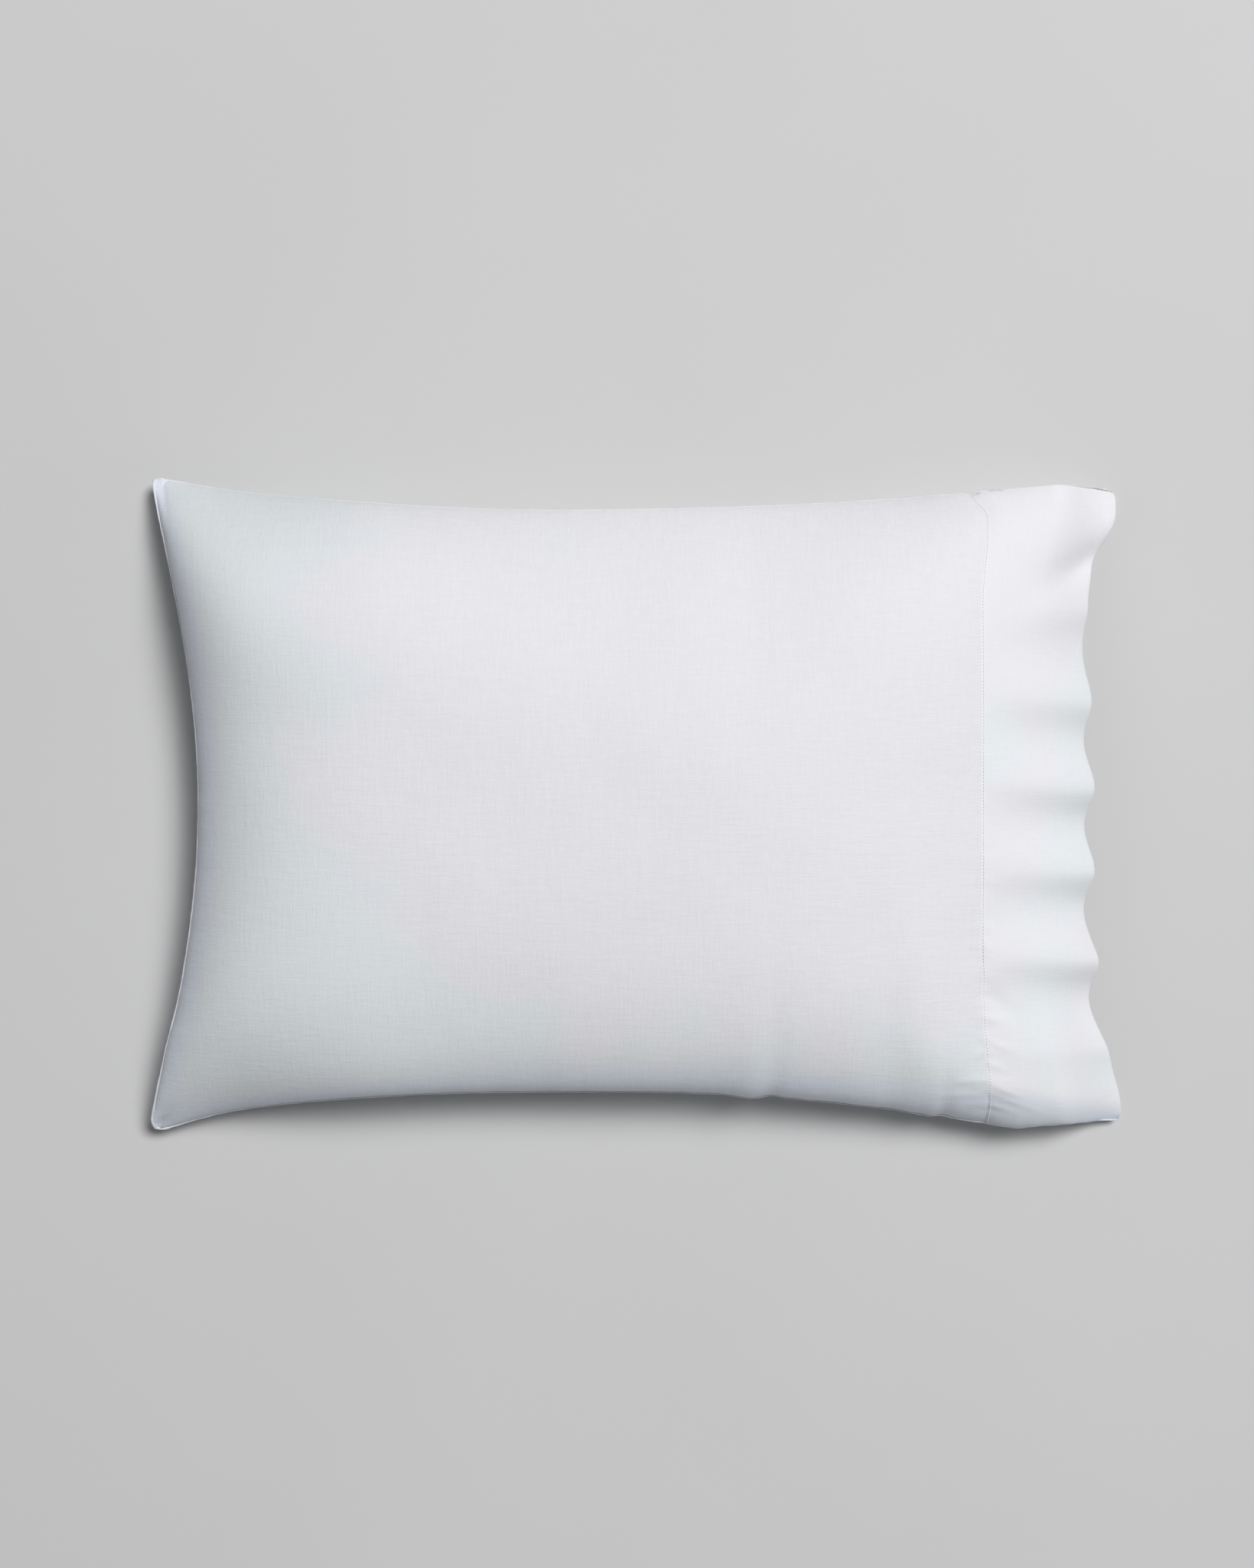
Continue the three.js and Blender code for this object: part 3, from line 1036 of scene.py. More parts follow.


# Washed linen, plain woven from flax yarn: matt, slightly cool white, with slubs. Its cool
# tint comes in random patches and, towards the closed end and the right-hand side, is painted
# shade, as is its blue tint along those edges. Real threads lie 0.6 mm apart; they are drawn
# 1.1 mm apart so that the weave shows.
LINEN = WovenFinish("washed_linen", "#ebeaef", "#e5ebee", "#d9dadf", thread=1.1 * MM,
                    slub_length=9 * MM, slub_width=1.1 * MM, slub_contrast=0.32,
                    relief=0.36 * MM)
# The same linen folded double in the hem: nothing shows through it, so it looks whiter. Its
# cool tint comes only in random patches; its darker blue along the right-hand side is painted
# shade on the hem's lower flank.
LINEN_DOUBLE = WovenFinish("washed_linen_double", "#edecf1", "#e9eef1", "#dddfe3",
                           thread=1.1 * MM, slub_length=9 * MM, slub_width=1.1 * MM,
                           slub_contrast=0.2, relief=0.22 * MM, shade_blue="#dce2ec", cool_start=0.49,
                           cool_spread=0.0)
# A linen fold pressed hard along the seams, where the yarns stand up. Its lighter colour is a
# painted highlight on the seam ridges, and its cool and blue tints towards the closed end and
# the right-hand side are painted shade.
LINEN_FOLD = WovenFinish("folded_linen", "#eeeef0", "#ecf0f2", "#dcdde1", thread=1.1 * MM,
                         slub_length=4 * MM, slub_width=1.2 * MM, slub_contrast=0.5,
                         relief=0.3 * MM, shade_blue="#e6eaf2")
# Down-proof cambric, a very dense fine cotton with a faint calendered lustre.
CAMBRIC = WovenFinish("cotton_cambric", "#efeee9", "#edeeea", "#e3e1db", thread=0.8 * MM,
                      slub_length=6 * MM, slub_width=0.8 * MM, slub_contrast=0.3,
                      relief=0.1 * MM, roughness=0.7, sheen=0.05)
# Bias-cut cotton over a twisted cord.
BIAS_COTTON = WovenFinish("bias_cotton", "#e9e6de", "#e7e6e0", "#d8d4ca", thread=0.9 * MM,
                          slub_length=5 * MM, slub_width=0.9 * MM, slub_contrast=0.4,
                          relief=0.15 * MM)
# Spun polyester sewing thread: two plies, slightly glossy.
THREAD = WovenFinish("sewing_thread", "#eff0f2", "#eceef1", "#d9dadd", thread=0.3 * MM,
                     slub_length=0.8 * MM, slub_width=0.3 * MM, slub_contrast=0.4,
                     relief=0.05 * MM, roughness=0.55, sheen=0.0)
# Woven satin tape of a blank sewn-in label.
LABEL_TAPE = WovenFinish("label_tape", "#f4f4f2", "#f2f3f2", "#e8e8e4", thread=0.5 * MM,
                         slub_length=8 * MM, slub_width=0.4 * MM, slub_contrast=0.3,
                         relief=0.05 * MM, roughness=0.5, sheen=0.0)
# Loose hollow fibre or down, hidden by the cover.
FIBRE = WovenFinish("fibre_filling", "#f3f1ea", "#f1f0ea", "#e2dfd5", thread=3.0 * MM,
                    slub_length=12 * MM, slub_width=3 * MM, slub_contrast=0.6,
                    relief=0.8 * MM, roughness=0.95, sheen=0.3)
PLASTER = PlasterFinish("matt_plaster", "#d5d5d5", "#cecece")


class Wardrobe:
    """Makes each finish once and gives it to the pieces."""

    def __init__(self) -> None:
        """Starts with no material made."""
        self.made: dict[str, bpy.types.Material] = {}

    def dress(self, obj: bpy.types.Object, finish: Any, slot: str | None = None) -> None:
        """Gives obj a finish.

        Args:
            obj: The piece.
            finish: Its finish.
            slot: Not used.
        """
        if finish.name not in self.made:
            self.made[finish.name] = finish.build()
        obj.data.materials.clear()
        obj.data.materials.append(self.made[finish.name])


# ---- The pillowcase ---------------------------------------------------------------------


@dataclass(frozen=True)
class Crease:
    """A short soft crease where the hem's stitches gather the cloth."""

    from_hem: float
    y: float
    lean: float
    length: float
    width: float
    height: float

    def rise(self, from_hem: Array, y: Array) -> Array:
        """Height at a distance from the hem line and a place across the pillow.

        Args:
            from_hem: Distances past the hem line.
            y: Places across the pillow.

        Returns:
            One height for each place.
        """
        lean = math.radians(self.lean)
        ahead, aside = from_hem - self.from_hem, y - self.y
        along = (ahead * math.cos(lean) + aside * math.sin(lean)) / self.length
        across = (aside * math.cos(lean) - ahead * math.sin(lean)) / self.width
        return self.height * np.exp(-(along**2) - across**2)


CREASES = (
    Crease(13 * MM, -153 * MM, -48, 15 * MM, 7.5 * MM, -2.6 * MM),
    Crease(6 * MM, -166 * MM, -12, 8 * MM, 3.2 * MM, 0.8 * MM),
    Crease(12 * MM, -187 * MM, -22, 13 * MM, 3.4 * MM, 0.9 * MM),
    Crease(7 * MM, -203 * MM, -24, 9 * MM, 2.8 * MM, 0.7 * MM),
    Crease(16 * MM, -224 * MM, -26, 16 * MM, 2.2 * MM, 0.6 * MM),
    Crease(24 * MM, -234 * MM, -24, 20 * MM, 2.2 * MM, 0.6 * MM),
    Crease(9 * MM, -237 * MM, -20, 12 * MM, 2.0 * MM, 0.6 * MM),
    Crease(-14 * MM, -214 * MM, 8, 12 * MM, 2.4 * MM, 0.5 * MM),
    Crease(-22 * MM, -226 * MM, 5, 15 * MM, 2.4 * MM, 0.5 * MM),
    Crease(-9 * MM, -196 * MM, 14, 9 * MM, 2.6 * MM, 0.4 * MM),
    Crease(8 * MM, -60 * MM, -8, 9 * MM, 2.6 * MM, 0.5 * MM),
    Crease(7 * MM, -112 * MM, -14, 8 * MM, 2.4 * MM, 0.5 * MM),
    Crease(6 * MM, -219 * MM, -14, 24 * MM, 10 * MM, 2.2 * MM),
)


@dataclass
class Wrinkles:
    """Fine folds of the cloth, as heights along its outward direction."""

    seam_pucker: float = 0.45 * MM
    seam_reach: float = 16 * MM
    hem_pucker: float = 0.5 * MM
    hem_reach: float = 12 * MM
    stitch_pucker: float = 0.34 * MM
    stitch_reach: float = 4.5 * MM
    held_by_stitches: float = 2.0 * MM
    broad_pucker: Span = (6 * MM, 22 * MM)
    fine_pucker: Span = (2.6 * MM, 9 * MM)
    side_pitch: float = 9 * MM
    side_change: float = 1.2
    side_row: int = 3
    end_pitch: float = 10 * MM
    end_share: float = 0.6
    fewest_above: float = 0.35
    below: Span = (-0.2, 0.7)
    fewest_closed: float = 0.4
    to_hem: Span = (-0.2, 0.7)
    ear_crease: float = 0.9 * MM
    ear_crease_in: float = 7.5 * MM
    ear_crease_width: float = 2.6 * MM
    ear_crease_span: Span = (50 * MM, 8 * MM)
    ear_side: Span = (0.0, 0.1)
    lump: float = 1.1 * MM
    big_lumps: Span = (95 * MM, 80 * MM)
    small_lumps: Span = (45 * MM, 52 * MM)
    small_share: float = 0.5
    lumps_end: float = 0.1
    seed: int = 11
    back_seed: int = 50

    def height(self, form: PillowForm, points: Array, u: Array, v: Array, side: Side) -> Array:
        """How far each point stands out.

        Args:
            form: The pillow's form.
            points: Points of the smooth surface.
            u: Their grid values along the pillow.
            v: Their grid values across it.
            side: Front or back.

        Returns:
            One height for each point.
        """
        seed = self.seed + (side is Side.BACK) * self.back_seed
        x, y = points[..., 0], points[..., 1]
        (big_x, big_y), (small_x, small_y) = self.big_lumps, self.small_lumps
        lumps = ValueNoise(seed)(x / big_x, y / big_y)
        lumps += self.small_share * ValueNoise(seed + 1)(x / small_x, y / small_y)
        inside = form.inside(u, v)
        total = self.lump * lumps * inside**2 * (1 - ease(u, form.hem_u - self.lumps_end, 1))
        lower = lerp(self.fewest_above, 1, ease(-v, *self.below))
        towards_hem = lerp(self.fewest_closed, 1, ease(u, *self.to_hem))
        from_side = form.half_width * (1 - np.abs(v))
        along = ValueNoise(seed + 2)(x / self.side_pitch, v * self.side_change + self.side_row)
        total += (self.seam_pucker * along * np.exp(-from_side / self.seam_reach)
                  * lower * towards_hem)
        from_end = (u + 1) * form.half_length
        along = ValueNoise(seed + 3)(y / self.end_pitch, u * self.side_change)
        total += (self.end_share * self.seam_pucker * along
                  * np.exp(-from_end / self.seam_reach))
        total += self.beside_hem(form, y, u, seed) * lower
        ear = (ease(from_side, *self.ear_crease_span) * ease(v, *self.ear_side)
               * bell(from_end - self.ear_crease_in, self.ear_crease_width))
        return total - self.ear_crease * ear

    def beside_hem(self, form: PillowForm, y: Array, u: Array, seed: int) -> Array:
        """Puckers and creases beside the hem's stitches, which hold the cloth itself down.

        Args:
            form: The pillow's form.
            y: Where the points lie across the pillow.
            u: Their grid values along it.
            seed: Fixes the puckers.

        Returns:
            One height for each point.
        """
        from_hem = (u - form.hem_u) * form.half_length
        away = np.abs(from_hem)
        free = 1 - bell(away, self.held_by_stitches)
        (broad_y, broad_x), (fine_y, fine_x) = self.broad_pucker, self.fine_pucker
        broad = ValueNoise(seed + 4)(y / broad_y, from_hem / broad_x)
        fine = ValueNoise(seed + 5)(y / fine_y, from_hem / fine_x)
        gathers = (self.hem_pucker * broad * np.exp(-away / self.hem_reach)
                   + self.stitch_pucker * fine * np.exp(-away / self.stitch_reach))
        creases = sum(crease.rise(from_hem, y) for crease in CREASES)
        return gathers * free + creases


@dataclass(frozen=True)
class Stitch:
    """A short arc of thread that dips into the cloth at both ends."""

    length: float
    radius: float
    top: float = 0.9
    dip: float = 1.3
    swell: tuple[float, ...] = (0.35, 0.8, 1.0, 1.05, 1.0, 0.8, 0.35)
    corners: int = 6

    def rings(self, spot: Array, up: Array, ahead: Array) -> Array:
        """Rings of points round one stitch.

        Args:
            spot: Its middle, on the cloth.
            up: Outward direction of the cloth.
            ahead: Direction of the thread.

        Returns:
            Rings as (ring, place on the ring, 3).
        """
        across = np.cross(up, ahead)
        places = np.linspace(-1, 1, len(self.swell))
        radii = self.radius * np.array(self.swell)
        lifts = self.radius * (self.top - self.dip * places**2)
        angles = np.arange(self.corners)[:, None] * 2 * math.pi / self.corners
        circle = across * np.cos(angles) + up * np.sin(angles)
        centres = spot + ahead * (places * self.length / 2)[:, None] + up * lifts[:, None]
        return centres[:, None] + circle * radii[:, None, None]


@dataclass
class Assembly:
    """A body of soft pieces that follow one form."""

    form: PillowForm
    wardrobe: Wardrobe
    body: ClassVar[str]

    def place(self, obj: bpy.types.Object, node: str, finish: WovenFinish, slot: str) -> None:
        """Dresses a piece, lets it ride on the body and stand for its node.

        Args:
            obj: The piece.
            node: The node it stands for.
            finish: Its finish.
            slot: The record's material slot.
        """
        self.wardrobe.dress(obj, finish, slot)
        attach(obj, self.body)
        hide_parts(node)
        LOG.info("%s stands for %s, %d faces", obj.name, node, len(obj.data.polygons))


@dataclass(frozen=True)
class SeamRun:
    """One seam of the case: its end or side of the grid, and how its ridge is set off."""

    name: str
    node: str
    end: float | None = None
    flank: float | None = None
    shift: tuple[float, float, float] = (0.0, 0.0, 0.0)

    def course(self, form: PillowForm, stations: int) -> Array:
        """Points along the sewn edge.

        Args:
            form: The pillow's form.
            stations: How many points.

        Returns:
            The points.
        """
        t = np.linspace(-1, 1, stations)
        u = t if self.end is None else 0 * t + self.end
        v = t if self.flank is None else 0 * t + self.flank
        return np.stack([*form.plan(u, v), form.middle(u, v)], axis=-1)


SEAM_RUNS = (
    SeamRun("closed_end_seam", "case_end_seam", end=-1.0, shift=(-0.3 * MM, 0.0, 0.0)),
    SeamRun("left_side_seam", "case_side_seam_left", flank=1.0,
            shift=(0.0, -0.3 * MM, -1.0 * MM)),
    SeamRun("right_side_seam", "case_side_seam_right", flank=-1.0, shift=(0.0, -0.3 * MM, 0.0)),
)


@dataclass
class Pillowcase(Assembly):
    """The linen case: two panels, two hem bands, three seams, stitches and a label."""

    body: ClassVar[str] = CASE_BODY
    linen: float = 0.6 * MM
    hem_cloth: float = 0.85 * MM
    hem_proud: float = 0.04 * MM
    above_floor: float = 0.4 * MM
    ridge: float = 0.85 * MM
    ridge_step: float = 1.6 * MM
    ridge_waver: float = 0.3 * MM
    ridge_sunk: float = 1.2 * MM
    ridge_drawn_in: float = 0.9 * MM
    ridge_thinned: float = 0.45
    ridge_fade: float = 30 * MM
    ridge_corners: int = 8
    ridge_stations: int = 500
    ridge_seed: int = 31
    waver_pitch: float = 14.0
    # Uneven thickness of a ridge: share, pitch in millimetres, and row of the noise.
    ridge_slubs: tuple[tuple[float, float, float], ...] = ((0.18, 3.1, 2.5), (0.15, 11.0, 4.5))
    stitch_pitch: float = 2.5 * MM
    stitch: Stitch = Stitch(length=2.0 * MM, radius=0.36 * MM)
    stitch_inset: float = 1.8 * MM
    stitch_probe: float = 0.004
    flat_width: float = 508 * MM
    flat_panel: float = 660 * MM
    flat_hem: float = 114 * MM
    folded_flat: float = 0.06
    panel_cells: int = 170
    hem_cells: int = 34
    width_cells: tuple[int, int] = (140, 90)
    width_crowding: float = 0.3
    hem_crowding: float = 0.2
    # The panel's last rows past the hem line, in millimetres; it dips from the second row to
    # the fifth. The row before them lies before_tuck times as far back as the first.
    tucked_edge: tuple[float, ...] = (-0.8, -0.4, 0.0, 0.4, 1.2, 3.0)
    before_tuck: float = 1.8
    tuck_clearance: float = 0.1 * MM
    wrinkles: Wrinkles = field(default_factory=Wrinkles)

    def build(self) -> None:
        """Builds every piece of the case."""
        right_cells, left_cells = self.width_cells
        vs = np.concatenate([spaced(-1, 0, right_cells, self.width_crowding),
                             spaced(0, 1, left_cells, self.width_crowding)[1:]])
        hem_u = self.form.hem_u
        tuck = np.array(self.tucked_edge) * MM / self.form.half_length
        even = spaced(-1, hem_u + self.before_tuck * tuck[0], self.panel_cells)
        panel_us = np.concatenate([even, hem_u + tuck])
        under_hem = self.hem_proud - self.hem_cloth - self.tuck_clearance
        dip = under_hem * ease(panel_us, hem_u + tuck[1], hem_u + tuck[4])
        hem_us = spaced(hem_u, 1, self.hem_cells, self.hem_crowding)
        for side, word in ((Side.FRONT, "front"), (Side.BACK, "back")):
            panel = cloth_solid(f"linen_{word}_panel", self.outside(panel_us, vs, side,
                                dip[:, None]), side, self.linen)
            self.sheet(panel, f"case_{word}_panel", LINEN, "linen_panel", self.flat_panel)
            band = cloth_solid(f"linen_{word}_hem", self.outside(hem_us, vs, side,
                               self.hem_proud), side, self.hem_cloth)
            self.sheet(band, f"case_{word}_hem", LINEN_DOUBLE, "linen_hem", self.flat_hem)
            self.stitching(word, side, vs)
        for run in SEAM_RUNS:
            self.seam(run)
        self.care_label()

    def outside(self, us: Array, vs: Array, side: Side, proud: Any = 0.0) -> Array:
        """Wrinkled outside of the case on a grid.

        Args:
            us: Stations along the pillow.
            vs: Stations across it.
            side: Front or back.
            proud: How far the layer stands outside the case's own surface.

        Returns:
            A grid of points.
        """
        points = self.form.surface(us, vs, side)
        normals = grid_normals(points, side)
        u, v = np.meshgrid(us, vs, indexing="ij")
        out = self.wrinkles.height(self.form, points, u, v, side) + proud
        points = points + normals * out[..., None]
        points[..., 2] = np.maximum(points[..., 2], self.above_floor)
        return points

    def sheet(self, obj: bpy.types.Object, node: str, finish: WovenFinish, slot: str,
              length: float) -> None:
        """Places a sheet of the case.

        Args:
            obj: The piece.
            node: The node it stands for.
            finish: Its finish.
            slot: The record's material slot.
            length: Not used.
        """
        self.place(obj, node, finish, slot)

    def place(self, obj: bpy.types.Object, node: str, finish: WovenFinish, slot: str) -> None:
        """Places a piece of the case and gives it a mesh of its own.

        Args:
            obj: The piece.
            node: The node it stands for.
            finish: Its finish.
            slot: The record's material slot.
        """
        super().place(obj, node, finish, slot)
        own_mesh(obj)

    def seam(self, run: SeamRun) -> None:
        """The folded ridge where the front and back are sewn together.

        Args:
            run: Which seam.
        """
        noise = ValueNoise(self.ridge_seed)
        hem_x = self.form.hem_x
        course = run.course(self.form, self.ridge_stations)
        path = along_path(course, self.ridge_step) + np.array(run.shift)
        place = np.arange(len(path)) * self.ridge_step / MM
        at_hem = ease(path[:, 0], hem_x, hem_x + self.ridge_fade)
        waver = self.ridge_waver * noise(place / self.waver_pitch, 0.5)
        path[:, 2] += waver - self.ridge_sunk * at_hem
        path[:, 1] -= self.ridge_drawn_in * at_hem * np.sign(path[:, 1])
        slubs = sum(share * noise(place / pitch, row) for share, pitch, row in self.ridge_slubs)
        radius = self.ridge * (1 + slubs) * (1 - self.ridge_thinned * at_hem)
        maker = MeshMaker()
        maker.sleeve(tube_rings(path, radius, self.ridge_corners))
        self.place(maker.build(run.name), run.node, LINEN_FOLD, "linen_seam")

    def stitching(self, word: str, side: Side, vs: Array) -> None:
        """A row of separate topstitches along the hem's folded edge.

        Args:
            word: The side's word in the names of pieces and nodes.
            side: Front or back.
            vs: Stations across the pillow.
        """
        form = self.form
        u = form.hem_u + self.stitch_inset / form.half_length
        rows = np.array([u - self.stitch_probe, u, u + self.stitch_probe])
        line = self.outside(rows, vs, side, self.hem_proud)
        path, normals = line[1], grid_normals(line, side)[1]
        spots = along_path(path, self.stitch_pitch)[1:-1]
        lengths = np.concatenate([[0], np.cumsum(np.linalg.norm(np.diff(path, axis=0), axis=1))])
        places = np.linspace(0, lengths[-1], len(spots) + 2)[1:-1]
        ups = unit(np.stack([np.interp(places, lengths, normals[:, k]) for k in range(3)], -1))
        maker = MeshMaker()
        for spot, up, ahead in zip(spots, ups, unit(np.gradient(spots, axis=0))):
            maker.sleeve(self.stitch.rings(spot, up, ahead))
        self.place(maker.build(f"{word}_hem_stitches"), f"case_{word}_hem_stitching", THREAD,
                   "sewing_thread")

    def care_label(self) -> None:
        """A blank folded tape, sewn into the right-hand seam just inside the mouth."""
        low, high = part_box("case_care_label")
        label = BlankLabel("care_label", SewnAt.RIGHT).build(low, high)
        self.place(label, "case_care_label", LABEL_TAPE, "label_tape")


class SewnAt(Enum):
    """The side of its room where a label is sewn in."""

    RIGHT = "-Y"
    CLOSED_END = "-X"


@dataclass(frozen=True)
class BlankLabel:
    """A label of soft tape, folded in two, with a slight curl and no print."""

    name: str
    sewn: SewnAt
    gap: float = 0.9 * MM
    tape: float = 0.3 * MM
    bend_steps: int = 7
    rows: int = 20
    columns: int = 14
    droop: float = 1.6
    curl: float = 0.8 * MM
    curl_waves: float = 2.2

    def build(self, low: Vector, high: Vector) -> bpy.types.Object:
        """Makes the label.

        Args:
            low: Lowest corner of the room it has.
            high: Highest corner of the room it has.

        Returns:
            The label.
        """
        bend = self.gap / 2
        turns = np.linspace(0, math.pi, self.bend_steps)[1:-1]
        length = (high.y - low.y) if self.sewn is SewnAt.RIGHT else (high.x - low.x)
        out = np.linspace(0, length - bend, self.rows)
        reach = np.concatenate([out, out[-1] + bend * np.sin(turns), out[::-1]])
        lift = np.concatenate([0 * out + bend, bend * np.cos(turns), 0 * out - bend])
        along, across = np.meshgrid(reach, np.linspace(0, 1, self.columns), indexing="ij")
        share = along / length
        if self.sewn is SewnAt.RIGHT:
            x, y = lerp(high.x, low.x, across), low.y + along
            z = lerp(low.z, high.z, 0.5) + 0 * x
        else:
            x, y = low.x + along, lerp(low.y, high.y, across)
            z = lerp(high.z, low.z, share**self.droop)
        curl = self.curl * share**2 * np.cos(self.curl_waves * math.pi * across)
        points = np.stack([x, y, z + curl + lift[:, None]], axis=-1)
        return cloth_solid(self.name, points, Side.FRONT, self.tape, rounding=2)


# ---- The insert -------------------------------------------------------------------------


@dataclass
class Insert(Assembly):
    """The pillow inside: a piped cotton cover with filling, closing stitches and a label."""

    body: ClassVar[str] = INSERT_BODY
    edge_inset: float = 9 * MM
    face_inset: float = 3.0 * MM
    ticking: float = 0.5 * MM
    piping: float = 1.7 * MM
    cord_out: float = 0.8
    cord_corners: int = 10
    cord_step: float = 2.0 * MM
    twist: float = 5 * MM
    twist_depth: float = 0.05
    corner: float = 34 * MM
    closing_start: float = 0.3
    under_cover: float = 1.2 * MM
    lump: float = 0.9 * MM
    lump_pitch: Span = (70 * MM, 60 * MM)
    lumps_end: float = 0.1
    gather: float = 0.7 * MM
    gather_pitch: float = 11 * MM
    gather_reach: float = 14 * MM
    gather_change: float = 2.0
    held_by_piping: float = 4 * MM
    seed: int = 70
    back_seed: int = 9
    closing_stitch: Stitch = Stitch(length=3.2 * MM, radius=0.3 * MM)
    gap_half: float = 0.5
    gap_stations: int = 120
    # The stitches lie on this row from the far end of the cover.
    stitched_row: int = -5
    stitch_lean: float = 0.6
    flat_width: float = 508 * MM
    flat_length: float = 660 * MM
    length_cells: int = 110
    width_cells: int = 90
    crowding: float = 0.7

    def build(self) -> None:
        """Builds every piece of the insert."""
        us = spaced(-1, self.form.insert_end_u, self.length_cells, self.crowding)
        vs = spaced(-1, 1, self.width_cells, self.crowding)
        self.filling(us, vs)
        for side, word in ((Side.FRONT, "front"), (Side.BACK, "back")):
            cover = cloth_solid(f"ticking_{word}", self.surface(us, vs, side, 0.0), side,
                                self.ticking)
            self.place(cover, f"insert_ticking_{word}", CAMBRIC, "cotton_ticking")
        self.piping_cord(us, vs)
        self.closing_stitches(us)
        self.law_label()

    def surface(self, us: Array, vs: Array, side: Side, deeper: float) -> Array:
        """A surface of the insert.

        Args:
            us: Stations along the insert.
            vs: Stations across it.
            side: Front or back.
            deeper: How far inside the cover's outside the surface lies.

        Returns:
            A grid of points.
        """
        form = self.form
        u, v = np.meshgrid(us, vs, indexing="ij")
        x, y = form.plan(u, v)
        end_u = form.insert_end_u
        closed_x = form.plan(-1 + 0 * u, v)[0]
        far_x = form.plan(end_u + 0 * u, v)[0]
        left, right = form.plan(u, 1 + 0 * v)[1], form.plan(u, -1 + 0 * v)[1]
        from_closed, from_far = x - closed_x, far_x - x
        from_side = np.where(v > 0, left - y, y - right)
        edge = self.edge_inset + 2 * deeper
        near_closed = u < form.crown_u
        from_end = np.where(near_closed, from_closed, from_far)
        ahead, aside = 1 - from_end / self.corner, 1 - from_side / self.corner
        cornered = (ahead > 0) & (aside > 0)
        shrink = np.where(cornered, np.maximum(ahead, aside)
                          / np.maximum(np.hypot(ahead, aside), TINY), 1)
        from_end = np.where(cornered, self.corner * (1 - ahead * shrink), from_end)
        from_side = np.where(cornered, self.corner * (1 - aside * shrink), from_side)
        share_closed = np.clip((form.crown_u - u) / (1 + form.crown_u), 0, 1)
        share_far = np.clip((u - form.crown_u) / (end_u - form.crown_u), 0, 1)
        new_x = np.where(near_closed, closed_x + from_end + edge * share_closed,
                         far_x - from_end - deeper * share_far)
        half = (left - right) / 2
        centre = (left + right) / 2
        reach = np.where(v > 0, left - from_side, right + from_side) - centre
        new_y = centre + reach * (1 - edge / half)
        shifted_u = u + (new_x - x) / form.half_length
        middle = form.middle(shifted_u, (new_y - centre) / half)
        above = form.height(u, v, side) - form.middle(u, v)
        inset = side.value * (self.face_inset + deeper) * form.inside(u, v)
        closing = form.belly(np.clip((u - self.closing_start)
                                     / (end_u - self.closing_start), 0, 1))
        z = middle + (above - inset) * closing
        points = np.stack([new_x, new_y, np.maximum(z, self.face_inset + deeper)], axis=-1)
        return self.puckered(points, u, v, side)

    def puckered(self, points: Array, u: Array, v: Array, side: Side) -> Array:
        """The surface with lumps of filling and small gathers along the piping.

        Args:
            points: The smooth surface.
            u: Grid values along the pillow.
            v: Grid values across it.
            side: Front or back.

        Returns:
            The moved points.
        """
        seed = self.seed + (side is Side.BACK) * self.back_seed
        x, y = points[..., 0], points[..., 1]
        normals = grid_normals(points, side)
        inside = self.form.inside(u, v)
        far = np.clip((self.form.insert_end_u - u) / self.lumps_end, 0, 1)
        lump_x, lump_y = self.lump_pitch
        lumps = ValueNoise(seed)(x / lump_x, y / lump_y) * self.lump * inside**2 * far
        from_side = self.form.half_width * (1 - np.abs(v))
        gathers = (ValueNoise(seed + 1)(x / self.gather_pitch, v * self.gather_change)
                   * np.exp(-from_side / self.gather_reach))
        from_end = np.minimum(u + 1, self.form.insert_end_u - u) * self.form.half_length
        ends = (ValueNoise(seed + 2)(y / self.gather_pitch, u * self.gather_change)
                * np.exp(-from_end / self.gather_reach))
        held = np.clip(np.minimum(from_side, from_end) / self.held_by_piping, 0, 1)
        out = lumps + self.gather * (gathers + ends) * held
        moved = points + normals * out[..., None]
        moved[..., 2] = np.maximum(moved[..., 2], self.face_inset)
        return moved

    def filling(self, us: Array, vs: Array) -> None:
        """The filling: one soft body just inside the cover.

        Args:
            us: Stations along it.
            vs: Stations across it.
        """
        top, bottom = (self.surface(us[::2], vs[::2], side, self.under_cover)
                       for side in (Side.FRONT, Side.BACK))
        maker = MeshMaker()
        maker.sleeve(np.concatenate([top[:, ::-1], bottom], axis=1))
        body = maker.build("filling")
        self.place(body, "insert_filling", FIBRE, "fibre_filling")

    def edge(self, us: Array, vs: Array) -> Array:
        """The cover's sewn edge as a closed run of points.

        Args:
            us: Stations along it.
            vs: Stations across it.

        Returns:
            Points round the edge, the first not repeated.
        """
        front = self.surface(us, vs, Side.FRONT, 0.0)
        back = self.surface(us, vs, Side.BACK, 0.0)
        grid = (front + back) / 2
        return np.concatenate([grid[:-1, 0], grid[-1, :-1], grid[:0:-1, -1], grid[0, :0:-1]])

    def piping_cord(self, us: Array, vs: Array) -> None:
        """The corded piping that runs round the cover's seam.

        Args:
            us: Stations along it.
            vs: Stations across it.
        """
        run = self.edge(us, vs)
        path = along_path(np.concatenate([run, run[:1]]), self.cord_step)[:-1]
        tangent = unit(np.roll(path, -1, axis=0) - np.roll(path, 1, axis=0))
        outward = unit(np.cross(tangent, UP))
        path = path + outward * self.piping * self.cord_out
        turns = np.arange(len(path)) * self.cord_step / self.twist
        radius = self.piping * (1 + self.twist_depth * np.sin(turns * 2 * math.pi))
        maker = MeshMaker()
        maker.sleeve(tube_rings(path, radius, self.cord_corners, closed=True), closed=True)
        self.place(maker.build("piping"), "insert_piping", BIAS_COTTON, "cotton_piping")

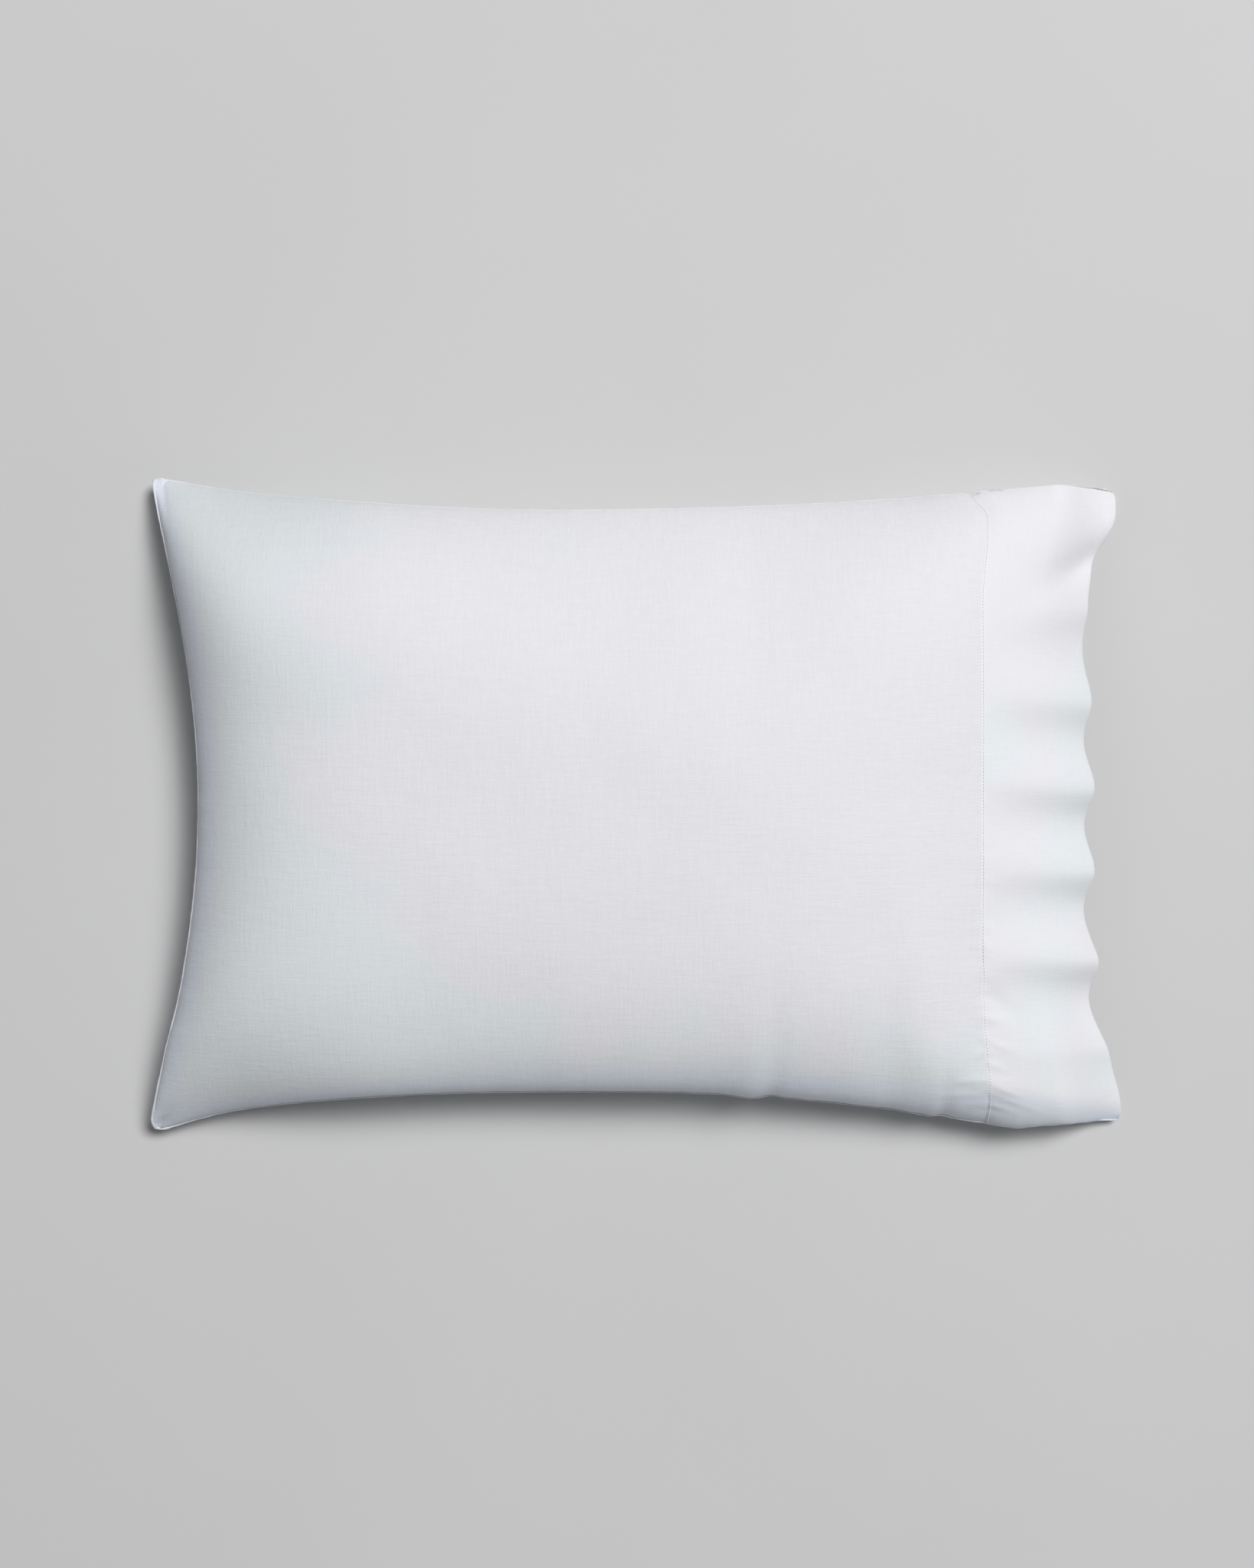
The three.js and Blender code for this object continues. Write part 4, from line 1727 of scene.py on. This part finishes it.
    def closing_stitches(self, us: Array) -> None:
        """Slanted hand stitches that close the gap where the filling went in.

        Args:
            us: Stations along it.
        """
        vs = np.linspace(-self.gap_half, self.gap_half, self.gap_stations)
        rows = self.surface(us[-8:], vs, Side.FRONT, 0.0)
        path = rows[self.stitched_row]
        normals = grid_normals(rows, Side.FRONT)[self.stitched_row]
        maker = MeshMaker()
        for k in range(1, len(vs) - 1, 2):
            ahead = unit(path[k + 1] - path[k - 1])
            leaning = unit(ahead + self.stitch_lean * np.cross(normals[k], ahead))
            maker.sleeve(self.closing_stitch.rings(path[k], normals[k], leaning))
        self.place(maker.build("closing_stitches"), "insert_closing_stitch", THREAD,
                   "sewing_thread")

    def law_label(self) -> None:
        """A blank tape label sewn into the seam at the mouth end."""
        low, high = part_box("insert_law_label")
        label = BlankLabel("law_label", SewnAt.CLOSED_END).build(low, high)
        self.place(label, "insert_law_label", LABEL_TAPE, "label_tape")


# ---- Scene ------------------------------------------------------------------------------


@dataclass
class Studio:
    """Floor, light and camera."""

    wardrobe: Wardrobe
    floor_size: float = 80.0
    lens: float = 70.0
    sensor: float = 36.0
    view_height: float = 1.229
    aim: tuple[float, float, float] = (-0.0063, 0.0156, 0.060)
    key_direction: tuple[float, float, float] = (0.31, 0.335, 1.0)
    key_distance: float = 7.0
    key_size: float = 2.4
    key_power: float = 415.0
    ambient: float = 0.16

    def build(self) -> None:
        """Sets the whole scene."""
        self.floor()
        self.lights()
        self.camera()
        view = bpy.context.scene.view_settings
        view.view_transform = "Standard"

    def floor(self) -> None:
        """A plain pale floor."""
        half = self.floor_size / 2
        corners = [(-half, -half, 0), (half, -half, 0), (half, half, 0), (-half, half, 0)]
        mesh = bpy.data.meshes.new("floor")
        mesh.from_pydata(corners, [], [(0, 1, 2, 3)])
        floor = bpy.data.objects.new("floor", mesh)
        bpy.context.scene.collection.objects.link(floor)
        self.wardrobe.dress(floor, PLASTER)

    def lights(self) -> None:
        """A soft key from the upper right, and an even surround."""
        self.softbox("key_softbox", self.key_direction, self.key_distance, self.key_size,
                     self.key_power)
        world = bpy.data.worlds.new("studio_surround")
        bpy.context.scene.world = world
        world.use_nodes = True
        background = world.node_tree.nodes["Background"]
        background.inputs["Color"].default_value = srgb("#ffffff")
        background.inputs["Strength"].default_value = self.ambient

    def softbox(self, name: str, towards: tuple[float, float, float], distance: float,
                size: float, power: float) -> None:
        """A square area light that faces the pillow.

        Args:
            name: Name of the light.
            towards: Direction from the pillow to the light.
            distance: How far away it is.
            size: Its width.
            power: Its power in watts.
        """
        lamp = bpy.data.lights.new(name, "AREA")
        lamp.shape = "SQUARE"
        lamp.size = size
        lamp.energy = power
        box = bpy.data.objects.new(name, lamp)
        direction = Vector(towards).normalized()
        box.location = direction * distance
        box.rotation_euler = direction.to_track_quat("Z", "Y").to_euler()
        bpy.context.scene.collection.objects.link(box)

    def camera(self) -> None:
        """A camera straight above, with the closed end on the left."""
        data = bpy.data.cameras.new("overhead")
        data.lens = self.lens
        data.sensor_width = self.sensor
        camera = bpy.data.objects.new("overhead", data)
        distance = self.view_height * self.lens / self.sensor
        camera.location = Vector(self.aim) + Vector((0, 0, distance))
        bpy.context.scene.collection.objects.link(camera)
        bpy.context.scene.camera = camera


def main() -> None:
    """Builds the pillow and its scene."""
    logging.basicConfig(level=logging.INFO, format="%(name)s: %(message)s")
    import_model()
    hem_low, hem_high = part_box("case_front_hem")
    side_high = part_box("case_side_seam_left")[1]
    form = PillowForm(
        closed_x=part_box("case_end_seam")[0].x - PAST_CLOSED_END, hem_x=hem_low.x,
        mouth_x=hem_high.x + PAST_MOUTH, half_width=side_high.y + PAST_SIDE,
        crown_height=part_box("case_front_panel")[1].z - CROWN_DROP,
        insert_end_x=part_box("insert_ticking_front")[1].x)
    wardrobe = Wardrobe()
    Studio(wardrobe).build()
    Insert(form, wardrobe).build()
    Pillowcase(form, wardrobe).build()


if __name__ == "__main__":
    main()
